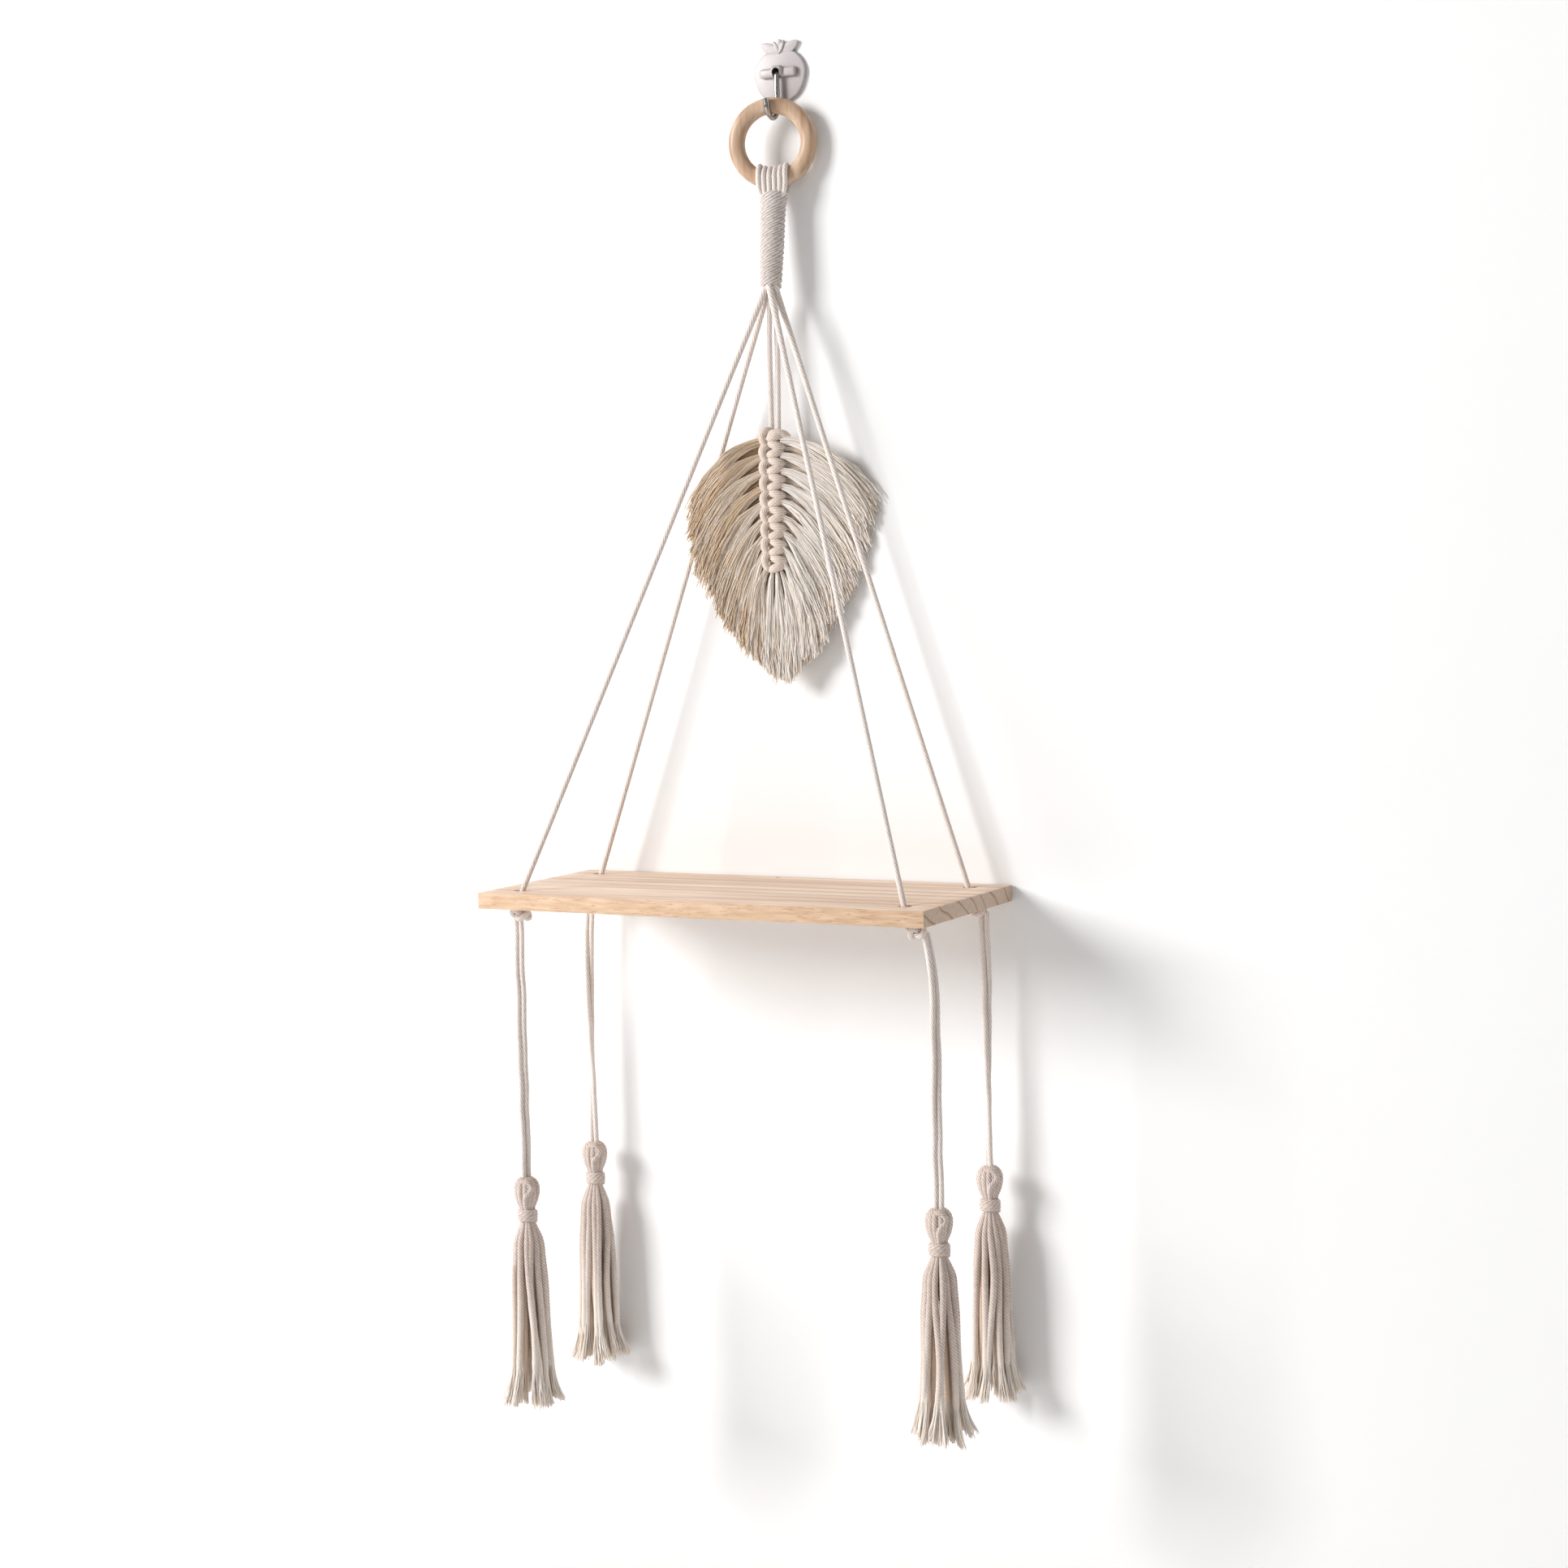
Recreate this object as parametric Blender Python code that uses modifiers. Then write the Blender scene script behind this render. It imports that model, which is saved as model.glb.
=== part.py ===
"""Hanging wall shelf: a pine board on four cotton cords, with a knotted leaf, a wooden ring and a wall hook.

Metres, +Z up. The origin is the centre of the hook plate's back face, on the wall. The wall is the plane
y = 0, the shelf hangs in front of it at negative y, and +X is to the right for someone who faces the wall.
"""

import math
import random

import bmesh
import bpy
from mathutils import Matrix, Vector

MM = 0.001
GAP = 0.3 * MM

# Hook: an adhesive plate in a fruit outline, with a saddle that holds a bent wire
PLATE_T = 2.0 * MM
PLATE_HALF_W = 17.6 * MM
PLATE_TOP = 13.9 * MM
PLATE_BOTTOM = -17.5 * MM
# tilt in degrees, length, half width, back and thickness of each leaf of the crown
CROWN = (
    (-62, 14.5 * MM, 3.3 * MM, 0.15 * MM, 1.5 * MM),
    (0, 9.0 * MM, 3.4 * MM, 0.25 * MM, 1.65 * MM),
    (62, 14.5 * MM, 3.3 * MM, 0.2 * MM, 1.35 * MM),
)
CROWN_SINK = 1.2 * MM
SADDLE = (24.5 * MM, 3.6 * MM, 5.8 * MM)
SADDLE_EDGE = 1.4 * MM
SADDLE_SINK = 0.2 * MM
SADDLE_Z = 1.2 * MM
BOSS = (11.0 * MM, 6.4 * MM, 8.0 * MM)
BOSS_EDGE = 1.9 * MM
BOSS_SINK = 0.5 * MM
BOSS_RISE = 0.7 * MM
SLOT_DEPTH = 12 * MM
SLOT_DROP = 8 * MM
WIRE_R = 1.7 * MM
WIRE_BEND = 2.6 * MM
WIRE_TIP = 4.6 * MM

# The ring, turned a little about the vertical, as it hangs
RING_R = 22.5 * MM
RING_TUBE = 5.0 * MM
RING_Y = -13.0 * MM
RING_Z = -42.6 * MM
RING_TURN = math.radians(16)

# Cords
ROPE_R = 1.8 * MM
LEG_R = 1.6 * MM
LOOP_R = 1.65 * MM
LOOP_COUNT = 6
LOOP_PITCH = 3.3 * MM
LOOP_GAP = 1.4 * GAP
LEG_SPREAD = LEG_R + GAP + 0.05 * MM

# Neck: the binding that gathers the cords below the ring
NECK_TOP = Vector((0.0, -13.5 * MM, -72.3 * MM))
NECK_BOTTOM = Vector((-1.0 * MM, -18.0 * MM, -130.8 * MM))
NECK_RIDGES = 22
NECK_STARTS = 4
NECK_SIDES = 12
RIDGE_DEPTH = 0.7 * MM
# share of the way down, half width, half depth
NECK_PROFILE = (
    (0.00, 8.5 * MM, 7.2 * MM),
    (0.15, 7.6 * MM, 7.1 * MM),
    (0.60, 7.3 * MM, 7.0 * MM),
    (1.00, 6.1 * MM, 6.0 * MM),
)

# Board, a little to the left of the hook, with its back edge against the wall
BOARD = (300 * MM, 130 * MM, 10 * MM)
BOARD_X = -5.0 * MM
BOARD_BACK = -0.5 * MM
BOARD_TOP = -496.0 * MM
BOARD_EDGE = 0.8 * MM
HOLE_R = 4.0 * MM
HOLE_IN_X = 20 * MM
HOLE_IN_Y = 18 * MM
# how far the cord stands from the hole's middle, in its mouth and half way down
HOLE_SIDE = 1.7 * MM
HOLE_MIDDLE = 0.9 * MM

# Each corner: its hole, where its cord leaves the neck, its knot and leg beside the hole, and its tassel
CORNERS = {
    "front_left": {
        "side": -1, "row": -1, "fan": 210, "knot_x": 0.0, "knot_half": 7.6 * MM, "lean": 24,
        "leg_x": -2.5 * MM, "turn": (10, 60), "tassel_top": -676.2 * MM, "tassel": 143 * MM, "seed": 3,
    },
    "back_left": {
        "side": -1, "row": 1, "fan": 150, "knot_x": -4.0 * MM, "knot_half": 7.2 * MM, "lean": -20,
        "leg_x": -10.0 * MM, "turn": (-10, 190), "tassel_top": -673.1 * MM, "tassel": 145 * MM, "seed": 5,
    },
    "front_right": {
        "side": 1, "row": -1, "fan": 290, "knot_x": 7.5 * MM, "knot_half": 8.4 * MM, "lean": -24,
        "leg_x": 17.5 * MM, "turn": (80, 10), "tassel_top": -670.8 * MM, "tassel": 137 * MM, "seed": 8,
    },
    "back_right": {
        "side": 1, "row": 1, "fan": 350, "knot_x": 5.0 * MM, "knot_half": 7.2 * MM, "lean": 22,
        "leg_x": 9.5 * MM, "turn": (0, 150), "tassel_top": -666.5 * MM, "tassel": 143 * MM, "seed": 13,
    },
}
FAN_R = 4.0 * MM
KNOT_HALF_Y = 6.2 * MM
KNOT_HALF_Z = 4.6 * MM
KNOT_CORE = 0.86
KNOT_CROSSING = 62
TASSEL_SINK = 3.0 * MM

# Tassel: half widths at depths below the top of its head
TASSEL_SIDES = 14
TASSEL_HEAD = (
    (0.0 * MM, 2.4 * MM),
    (2.2 * MM, 5.4 * MM),
    (7.0 * MM, 7.5 * MM),
    (12.0 * MM, 7.3 * MM),
    (18.5 * MM, 5.2 * MM),
)
TASSEL_RIDGE = 0.45 * MM
BAND_TOP = 18.8 * MM
BAND_H = 8.6 * MM
BAND_TURNS = 4
BAND_R = 5.95 * MM
BAND_GROOVE = 0.35 * MM
BAND_EDGE = 0.15 * MM
BAND_DROP = 0.1 * MM
STRAND_STEPS = 3
STRAND_SWING = 0.7 * MM
INNER_RING = 0.42
# share of the skirt's length, radius of its outer strands, half width of a strand
SKIRT = (
    (0.00, 4.0 * MM, 0.95 * MM),
    (0.20, 8.0 * MM, 1.45 * MM),
    (0.50, 9.6 * MM, 1.60 * MM),
    (0.80, 11.6 * MM, 1.65 * MM),
    (1.00, 15.5 * MM, 1.75 * MM),
)

# Leaf, turned a little about the vertical, as it hangs
LEAF_TOP = Vector((-1.0 * MM, -17.0 * MM, -218.6 * MM))
LEAF_TURN = math.radians(14)
SPINE_LENGTH = 85 * MM
SPINE_HALF_W = 9.0 * MM
SPINE_HALF_T = 2.6 * MM
SPINE_CROWN = 3.6 * MM
SPINE_SPLIT = 0.45
LOBE = 1.3 * MM
LOCK_ROWS = 18
LOCK_STEPS = 5
LOCK_GAP = 0.25 * MM
LOCK_HALF_T = 0.9 * MM
# share of the way down the spine, and where the lock that starts there ends: left x and z, right x and z
LEAF_TIPS = (
    (0.00, -56 * MM, -48 * MM, 61 * MM, -44 * MM),
    (0.20, -55 * MM, -70 * MM, 58 * MM, -68 * MM),
    (0.40, -49 * MM, -93 * MM, 49 * MM, -90 * MM),
    (0.60, -39 * MM, -114 * MM, 39 * MM, -111 * MM),
    (0.80, -26 * MM, -132 * MM, 28 * MM, -131 * MM),
    (1.00, -11 * MM, -147 * MM, 15 * MM, -148 * MM),
)
# share of the way down, how far out and down a lock leaves the spine there, and how far inside and above
# its tip it comes in
LOCK_RUNS = (
    (0.0, 21 * MM, 0 * MM, 9 * MM, 25 * MM),
    (0.5, 15 * MM, 4 * MM, 7 * MM, 24 * MM),
    (1.0, 7 * MM, 8 * MM, -2 * MM, 22 * MM),
)
LEAF_END = 11 * MM

COTTON = ("cotton", (0.80, 0.75, 0.70), 0.9, 0.0)
PINE = ("pine", (0.85, 0.68, 0.50), 0.55, 0.0)
BEECH = ("beech", (0.80, 0.60, 0.42), 0.45, 0.0)
PLASTIC = ("white_plastic", (0.86, 0.84, 0.85), 0.35, 0.0)
STEEL = ("steel", (0.62, 0.60, 0.58), 0.2, 1.0)


def start_clean():
    for thing in list(bpy.data.objects):
        bpy.data.objects.remove(thing, do_unlink=True)
    parts = bpy.data.collections.new("wall_shelf")
    cutters = bpy.data.collections.new("cutters")
    bpy.context.scene.collection.children.link(parts)
    bpy.context.scene.collection.children.link(cutters)
    return parts, cutters


def material_of(look):
    name, colour, roughness, metallic = look
    found = bpy.data.materials.get(name)
    if found:
        return found
    made = bpy.data.materials.new(name)
    made.use_nodes = True
    shader = made.node_tree.nodes["Principled BSDF"]
    shader.inputs["Base Color"].default_value = (*colour, 1.0)
    shader.inputs["Roughness"].default_value = roughness
    shader.inputs["Metallic"].default_value = metallic
    return made


def finish_object(thing, look, collection):
    """Gives an object its material, smooth shading and collection."""
    thing.data.materials.clear()
    thing.data.materials.append(material_of(look))
    if thing.type == "MESH":
        thing.data.shade_smooth()
        thing.data.set_sharp_from_angle(angle=math.radians(40))
    for old in list(thing.users_collection):
        old.objects.unlink(thing)
    collection.objects.link(thing)
    return thing


def object_from(bm, name):
    mesh = bpy.data.meshes.new(name)
    bm.to_mesh(mesh)
    bm.free()
    return bpy.data.objects.new(name, mesh)


def hide_as_cutter(thing, collection):
    for old in list(thing.users_collection):
        old.objects.unlink(thing)
    collection.objects.link(thing)
    thing.hide_render = True
    thing.display_type = "WIRE"
    return thing


def join_shapes(body, others, operation, cutters):
    """Adds one Boolean to body for each of the other shapes, which become its helpers."""
    for index, other in enumerate(others):
        hide_as_cutter(other, cutters)
        step = body.modifiers.new(f"{operation.lower()}_{index}", "BOOLEAN")
        step.operation = operation
        step.solver = "EXACT"
        step.object = other
    return body


def mesh_from_curve(thing):
    """The evaluated curve as a closed mesh object of the same name and place."""
    bpy.context.scene.collection.objects.link(thing)
    bpy.context.view_layer.update()
    graph = bpy.context.evaluated_depsgraph_get()
    mesh = bpy.data.meshes.new_from_object(thing.evaluated_get(graph))
    bm = bmesh.new()
    bm.from_mesh(mesh)
    bmesh.ops.remove_doubles(bm, verts=bm.verts, dist=0.01 * MM)
    bmesh.ops.recalc_face_normals(bm, faces=bm.faces)
    bm.to_mesh(mesh)
    bm.free()
    name = thing.name
    place = thing.matrix_world.copy()
    bpy.data.objects.remove(thing, do_unlink=True)
    made = bpy.data.objects.new(name, mesh)
    made.matrix_world = place
    return made


def smooth_route(points, steps):
    """Points of a smooth curve through the given ones, with so many steps on each stretch."""
    ends = [points[0] * 2 - points[1], *points, points[-1] * 2 - points[-2]]
    route = []
    for before, a, b, after in zip(ends, ends[1:], ends[2:], ends[3:]):
        for step in range(steps):
            t = step / steps
            bend = 2 * before - 5 * a + 4 * b - after
            turn = 3 * a - before - 3 * b + after
            route.append(0.5 * (2 * a + (b - before) * t + bend * t * t + turn * t * t * t))
    route.append(points[-1].copy())
    return route


def cord_curve(name, points, radius, roundness=2, closed=False):
    """A cord as a curve with a round bevel: 4 sides and 2 more for each step of roundness."""
    data = bpy.data.curves.new(name, "CURVE")
    data.dimensions = "3D"
    data.bevel_depth = radius
    data.bevel_resolution = roundness
    data.use_fill_caps = True
    line = data.splines.new("POLY")
    line.points.add(len(points) - 1)
    for spot, point in zip(line.points, points):
        spot.co = (*point, 1.0)
    line.use_cyclic_u = closed
    return bpy.data.objects.new(name, data)


def blend_rows(rows, share):
    """Values read from a table of rows at a share between the first column's values."""
    for low, high in zip(rows, rows[1:]):
        if share <= high[0]:
            t = (share - low[0]) / (high[0] - low[0])
            t = max(0.0, min(1.0, t))
            return [a + (b - a) * t for a, b in zip(low[1:], high[1:])]
    return list(rows[-1][1:])


def hole_place(corner):
    """The centre of a corner's hole, at the board's top face."""
    x = BOARD_X + corner["side"] * (BOARD[0] / 2 - HOLE_IN_X)
    middle = BOARD_BACK - BOARD[1] / 2
    return Vector((x, middle + corner["row"] * (BOARD[1] / 2 - HOLE_IN_Y), BOARD_TOP))


def build_plate(parts, cutters):
    """The plate: a round fruit outline with a crown of three leaves, its saddle and its boss."""
    outline = (
        (0.0, PLATE_TOP),
        (PLATE_HALF_W * 0.62, PLATE_TOP * 0.93),
        (PLATE_HALF_W, PLATE_TOP * 0.15),
        (PLATE_HALF_W * 0.72, PLATE_BOTTOM * 0.66),
        (0.0, PLATE_BOTTOM),
    )
    right = [Vector((x, 0.0, z)) for x, z in outline]
    left = [Vector((-p.x, 0.0, p.z)) for p in reversed(right[1:-1])]
    ring = right + left
    around = smooth_route([ring[-1], *ring, ring[0], ring[1]], 4)[4 : 4 + 4 * len(ring)]
    plate = flat_piece("hook_plate", around, 0.0, PLATE_T)
    crown = []
    for tilt, length, half, back, thick in CROWN:
        turns = [math.tau * (i + 0.5) / 10 for i in range(10)]
        blade = [Vector((half * math.cos(a), 0.0, length / 2 * math.sin(a))) for a in turns]
        turned = Matrix.Rotation(math.radians(tilt), 4, "Y")
        root = Vector((0.0, 0.0, PLATE_TOP - CROWN_SINK))
        spots = [root + turned @ (p + Vector((0.0, 0.0, length / 2))) for p in blade]
        crown.append(flat_piece(f"crown_{tilt}", spots, back, thick))
    saddle_place = (0.0, -PLATE_T - SADDLE[1] / 2 + SADDLE_SINK, SADDLE_Z)
    saddle = box_piece("saddle", SADDLE, saddle_place, SADDLE_EDGE)
    boss_place = (0.0, -PLATE_T - BOSS[1] / 2 + BOSS_SINK, SADDLE_Z + BOSS_RISE)
    boss = box_piece("boss", BOSS, boss_place, BOSS_EDGE)
    join_shapes(plate, [*crown, saddle, boss], "UNION", cutters)
    slot_half = WIRE_R + GAP
    slot_y = -PLATE_T - SADDLE_SINK - SLOT_DEPTH / 2
    bpy.ops.mesh.primitive_cylinder_add(
        vertices=16,
        radius=slot_half,
        depth=SLOT_DEPTH,
        location=(0.0, slot_y, SADDLE_Z),
        rotation=(math.pi / 2, 0.0, 0.0),
    )
    eye = bpy.context.object
    slot_size = (2 * slot_half, SLOT_DEPTH, SLOT_DROP)
    slot = box_piece("slot", slot_size, (0.0, slot_y, SADDLE_Z - SLOT_DROP / 2), 0)
    join_shapes(plate, [eye, slot], "DIFFERENCE", cutters)
    return finish_object(plate, PLASTIC, parts)


def flat_piece(name, around, back, thickness):
    """A flat outline in front of the wall, from its points in X and Z, its back and its thickness."""
    data = bpy.data.curves.new(name, "CURVE")
    data.dimensions = "2D"
    data.fill_mode = "BOTH"
    data.extrude = thickness / 2
    line = data.splines.new("POLY")
    line.points.add(len(around) - 1)
    for spot, point in zip(line.points, around):
        spot.co = (point.x, point.z, 0.0, 1.0)
    line.use_cyclic_u = True
    thing = bpy.data.objects.new(name, data)
    thing.rotation_euler = (math.pi / 2, 0.0, 0.0)
    thing.location = (0.0, -back - thickness / 2, 0.0)
    return mesh_from_curve(thing)


def box_piece(name, size, place, edge):
    """A box with its edges cut by a bevel, if edge isn't 0."""
    bpy.ops.mesh.primitive_cube_add(size=1.0, location=place)
    thing = bpy.context.object
    thing.name = name
    thing.data.transform(Matrix.Diagonal((*size, 1.0)))
    if edge:
        bevel = thing.modifiers.new("bevel", "BEVEL")
        bevel.width = edge
    return thing


def build_wire(parts):
    """The wire: in from the plate, down behind the ring, and round under it to a short upright tip."""
    reach = RING_TUBE / math.cos(RING_TURN) + GAP + WIRE_R
    eye_z = RING_Z + RING_R
    stem_y = RING_Y + reach
    route = [Vector((0.0, -PLATE_T - SADDLE_SINK - GAP, SADDLE_Z))]
    for step in range(5):
        a = math.radians(90 - 22.5 * step)
        along = WIRE_BEND * math.cos(a)
        drop = WIRE_BEND * (1 - math.sin(a))
        route.append(Vector((0.0, stem_y + WIRE_BEND - along, SADDLE_Z - drop)))
    for share in (0.45, 0.9):
        route.append(Vector((0.0, stem_y, (SADDLE_Z - WIRE_BEND) * (1 - share) + eye_z * share)))
    for step in range(13):
        a = math.radians(-15 * step)
        route.append(Vector((0.0, RING_Y + reach * math.cos(a), eye_z + reach * math.sin(a))))
    route.append(Vector((0.0, RING_Y - reach - 0.2 * MM, eye_z + WIRE_TIP)))
    wire = mesh_from_curve(cord_curve("hook_wire", route, WIRE_R, 2))
    return finish_object(wire, STEEL, parts)


def build_ring(parts):
    bpy.ops.mesh.primitive_torus_add(
        major_segments=40,
        minor_segments=10,
        major_radius=RING_R,
        minor_radius=RING_TUBE,
        location=(0.0, RING_Y, RING_Z),
        rotation=(math.pi / 2, 0.0, RING_TURN),
    )
    ring = bpy.context.object
    ring.name = "wood_ring"
    return finish_object(ring, BEECH, parts)


def loop_route(offset, place):
    """One cord turn over the foot of the ring: up its front, over it inside the ring, and down its back."""
    lean = math.sqrt(1 - (offset / RING_R) ** 2)
    middle = -RING_R * lean
    deep = RING_TUBE + LOOP_GAP + LOOP_R
    high = RING_TUBE / lean + LOOP_GAP + LOOP_R
    spots = [(-3.2 * MM, -15.5 * MM, 0.55), (-5.3 * MM, -9.5 * MM, 0.82)]
    for step in range(9):
        a = math.radians(-20 + 27.5 * step)
        spots.append((-deep * math.cos(a), high * math.sin(a), 1.0))
    spots += [(5.3 * MM, -9.5 * MM, 0.82), (3.2 * MM, -15.5 * MM, 0.55)]
    route = []
    for y, z, spread in spots:
        route.append(place @ Vector((offset * spread, y, middle * spread - RING_R * (1 - spread) + z)))
    return route


def ridged_bar():
    """The binding: a bar down the neck, with cord ridges that wind round it as a screw."""
    rise = NECK_STARTS / NECK_RIDGES
    rows = 2 * NECK_RIDGES
    bm = bmesh.new()
    grid = []
    for row in range(-2 * NECK_STARTS, rows + 1):
        level = []
        for side in range(NECK_SIDES + 1):
            share = row / rows + rise * side / NECK_SIDES
            kept = max(0.0, min(1.0, share))
            half_w, half_d = blend_rows(NECK_PROFILE, kept)
            sunk = RIDGE_DEPTH if row % 2 or kept != share else 0.0
            if kept in (0.0, 1.0):
                sunk = 2 * RIDGE_DEPTH
            a = math.tau * side / NECK_SIDES
            centre = NECK_TOP.lerp(NECK_BOTTOM, kept)
            out = Vector(((half_w - sunk) * math.cos(a), (half_d - sunk) * math.sin(a), 0.0))
            level.append(bm.verts.new(centre + out))
        grid.append(level)
    for low, high in zip(grid, grid[1:]):
        for side in range(NECK_SIDES):
            bm.faces.new((low[side], low[side + 1], high[side + 1], high[side]))
    bmesh.ops.remove_doubles(bm, verts=bm.verts, dist=0.005 * MM)
    bmesh.ops.dissolve_degenerate(bm, edges=bm.edges, dist=0.005 * MM)
    bmesh.ops.holes_fill(bm, edges=bm.edges, sides=0)
    bmesh.ops.recalc_face_normals(bm, faces=bm.faces)
    return object_from(bm, "neck")


def build_neck(parts, cutters):
    """Six cord turns over the ring, gathered into the ridged binding."""
    neck = ridged_bar()
    place = Matrix.Translation((0.0, RING_Y, RING_Z)) @ Matrix.Rotation(RING_TURN, 4, "Z")
    loops = []
    for index in range(LOOP_COUNT):
        offset = (index - (LOOP_COUNT - 1) / 2) * LOOP_PITCH
        loops.append(mesh_from_curve(cord_curve(f"loop_{index}", loop_route(offset, place), LOOP_R, 1)))
    join_shapes(neck, loops, "UNION", cutters)
    return finish_object(neck, COTTON, parts)


def knot_shapes(corner, place):
    """A tied knot as a lumpy core with two cord turns that cross over it."""
    half = corner["knot_half"]
    core = bmesh.new()
    bmesh.ops.create_uvsphere(core, u_segments=10, v_segments=6, radius=1.0)
    scale = Matrix.Diagonal((half * KNOT_CORE, KNOT_HALF_Y * KNOT_CORE, KNOT_HALF_Z * KNOT_CORE, 1.0))
    bmesh.ops.transform(core, matrix=Matrix.Translation(place) @ scale, verts=core.verts)
    shapes = [object_from(core, "knot_core")]
    for index, tilt in enumerate((corner["lean"], corner["lean"] + KNOT_CROSSING)):
        spin = Matrix.Rotation(math.radians(tilt), 4, "Y")
        spots = []
        for step in range(10):
            a = math.tau * step / 10
            reach = Vector(((half - LEG_R) * math.cos(a), (KNOT_HALF_Y - LEG_R) * math.sin(a), 0.0))
            turned = spin @ reach
            turned.x = max(LEG_R - half, min(half - LEG_R, turned.x))
            turned.z = max(LEG_R - KNOT_HALF_Z, min(KNOT_HALF_Z - LEG_R, turned.z))
            spots.append(place + turned)
        shapes.append(mesh_from_curve(cord_curve(f"knot_turn_{index}", spots, LEG_R, 1, closed=True)))
    return shapes


def knot_place(corner):
    hole = hole_place(corner)
    under = BOARD_TOP - BOARD[2] - GAP - KNOT_HALF_Z
    return Vector((hole.x + corner["knot_x"], hole.y, under))


def build_cord(name, corner, parts, cutters):
    """One cord: from the neck, through its hole, into its knot, and on as the doubled leg."""
    hole = hole_place(corner)
    a = math.radians(corner["fan"])
    top = NECK_BOTTOM + Vector((FAN_R * math.cos(a), FAN_R * math.sin(a), -GAP))
    inward = Vector((top.x - hole.x, top.y - hole.y, 0.0)).normalized()
    mouth = hole + inward * HOLE_SIDE + Vector((0.0, 0.0, 1.0 * MM))
    knot = knot_place(corner)
    bend = top - Vector((0.0, 0.0, 1.5 * MM))
    route = [top, *[bend.lerp(mouth, share) for share in (0.0, 0.33, 0.66, 1.0)]]
    route.append(hole + inward * HOLE_MIDDLE + Vector((0.0, 0.0, -BOARD[2] * 0.45)))
    route.append(hole + Vector((0.0, 0.0, -BOARD[2] - 1.0 * MM)))
    route.append(Vector(((hole.x + knot.x) / 2, hole.y, knot.z)))
    cord = mesh_from_curve(cord_curve(f"cord_{name}", route, ROPE_R, 2))
    leg = mesh_from_curve(cord_curve(f"leg_{name}", leg_route(corner), LEG_R, 1))
    join_shapes(cord, [*knot_shapes(corner, knot), leg], "UNION", cutters)
    return finish_object(cord, COTTON, parts)


def leg_route(corner):
    """The doubled cord below the knot: one line down, round through the tassel's head and up."""
    hole = hole_place(corner)
    knot = knot_place(corner)
    lead = corner["leg_x"] - corner["knot_x"]
    most = corner["knot_half"] - 2 * LEG_R
    lead = max(-most, min(most, lead))
    end_z = corner["tassel_top"] - TASSEL_SINK
    first, last = (math.radians(t) for t in corner["turn"])
    lines = ([], [])
    for share in (0.0, 0.06, 0.2, 0.4, 0.6, 0.8, 1.0):
        settle = min(1.0, share * 6)
        x = knot.x + lead + (hole.x + corner["leg_x"] - knot.x - lead) * settle
        a = first + (last - first) * share
        spread = Vector((LEG_SPREAD * math.cos(a), LEG_SPREAD * math.sin(a), 0.0))
        middle = Vector((x, hole.y, knot.z + (end_z - knot.z) * share))
        lines[0].append(middle + spread)
        lines[1].append(middle - spread)
    low = (lines[0][-1] + lines[1][-1]) / 2
    out = (lines[0][-1] - low).normalized()
    turn = []
    for step in range(1, 6):
        a = math.pi * step / 6
        turn.append(low + out * LEG_SPREAD * math.cos(a) - Vector((0.0, 0.0, LEG_SPREAD * math.sin(a))))
    return lines[0] + turn + lines[1][::-1]


def grow_strand(bm, face, spots):
    """Draws a face out into a strand: spots are (centre, scale) from its root on."""
    for centre, scale in spots:
        face = bmesh.ops.extrude_discrete_faces(bm, faces=[face])["faces"][0]
        old = face.calc_center_median()
        for vert in face.verts:
            vert.co = centre + (vert.co - old) * scale


def tassel_head(bm, place):
    """Rings of points down the head, ridged like the cords folded over it, then a plain one."""
    def ring(depth, radius, sides, ridge):
        spots = []
        for side in range(sides):
            a = math.tau * side / sides
            r = radius + (ridge if side % 2 else -ridge)
            spots.append(bm.verts.new(place + Vector((r * math.cos(a), r * math.sin(a), -depth))))
        return spots

    rings = []
    for index, (depth, radius) in enumerate(TASSEL_HEAD):
        inside = 0 < index < len(TASSEL_HEAD) - 1
        rings.append(ring(depth, radius, 2 * TASSEL_SIDES, TASSEL_RIDGE if inside else 0.0))
    low = ring(BAND_TOP + BAND_H, TASSEL_HEAD[-1][1], TASSEL_SIDES, 0.0)
    bm.faces.new(rings[0][::-1])
    for high, deep in zip(rings, rings[1:]):
        count = len(high)
        for side in range(count):
            after = (side + 1) % count
            bm.faces.new((high[side], high[after], deep[after], deep[side]))
    last = rings[-1]
    for side in range(TASSEL_SIDES):
        after = (side + 1) % TASSEL_SIDES
        a, b, c = last[2 * side], last[2 * side + 1], last[(2 * side + 2) % (2 * TASSEL_SIDES)]
        bm.faces.new((a, b, low[side]))
        bm.faces.new((b, c, low[after]))
        bm.faces.new((b, low[after], low[side]))
    return low


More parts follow.
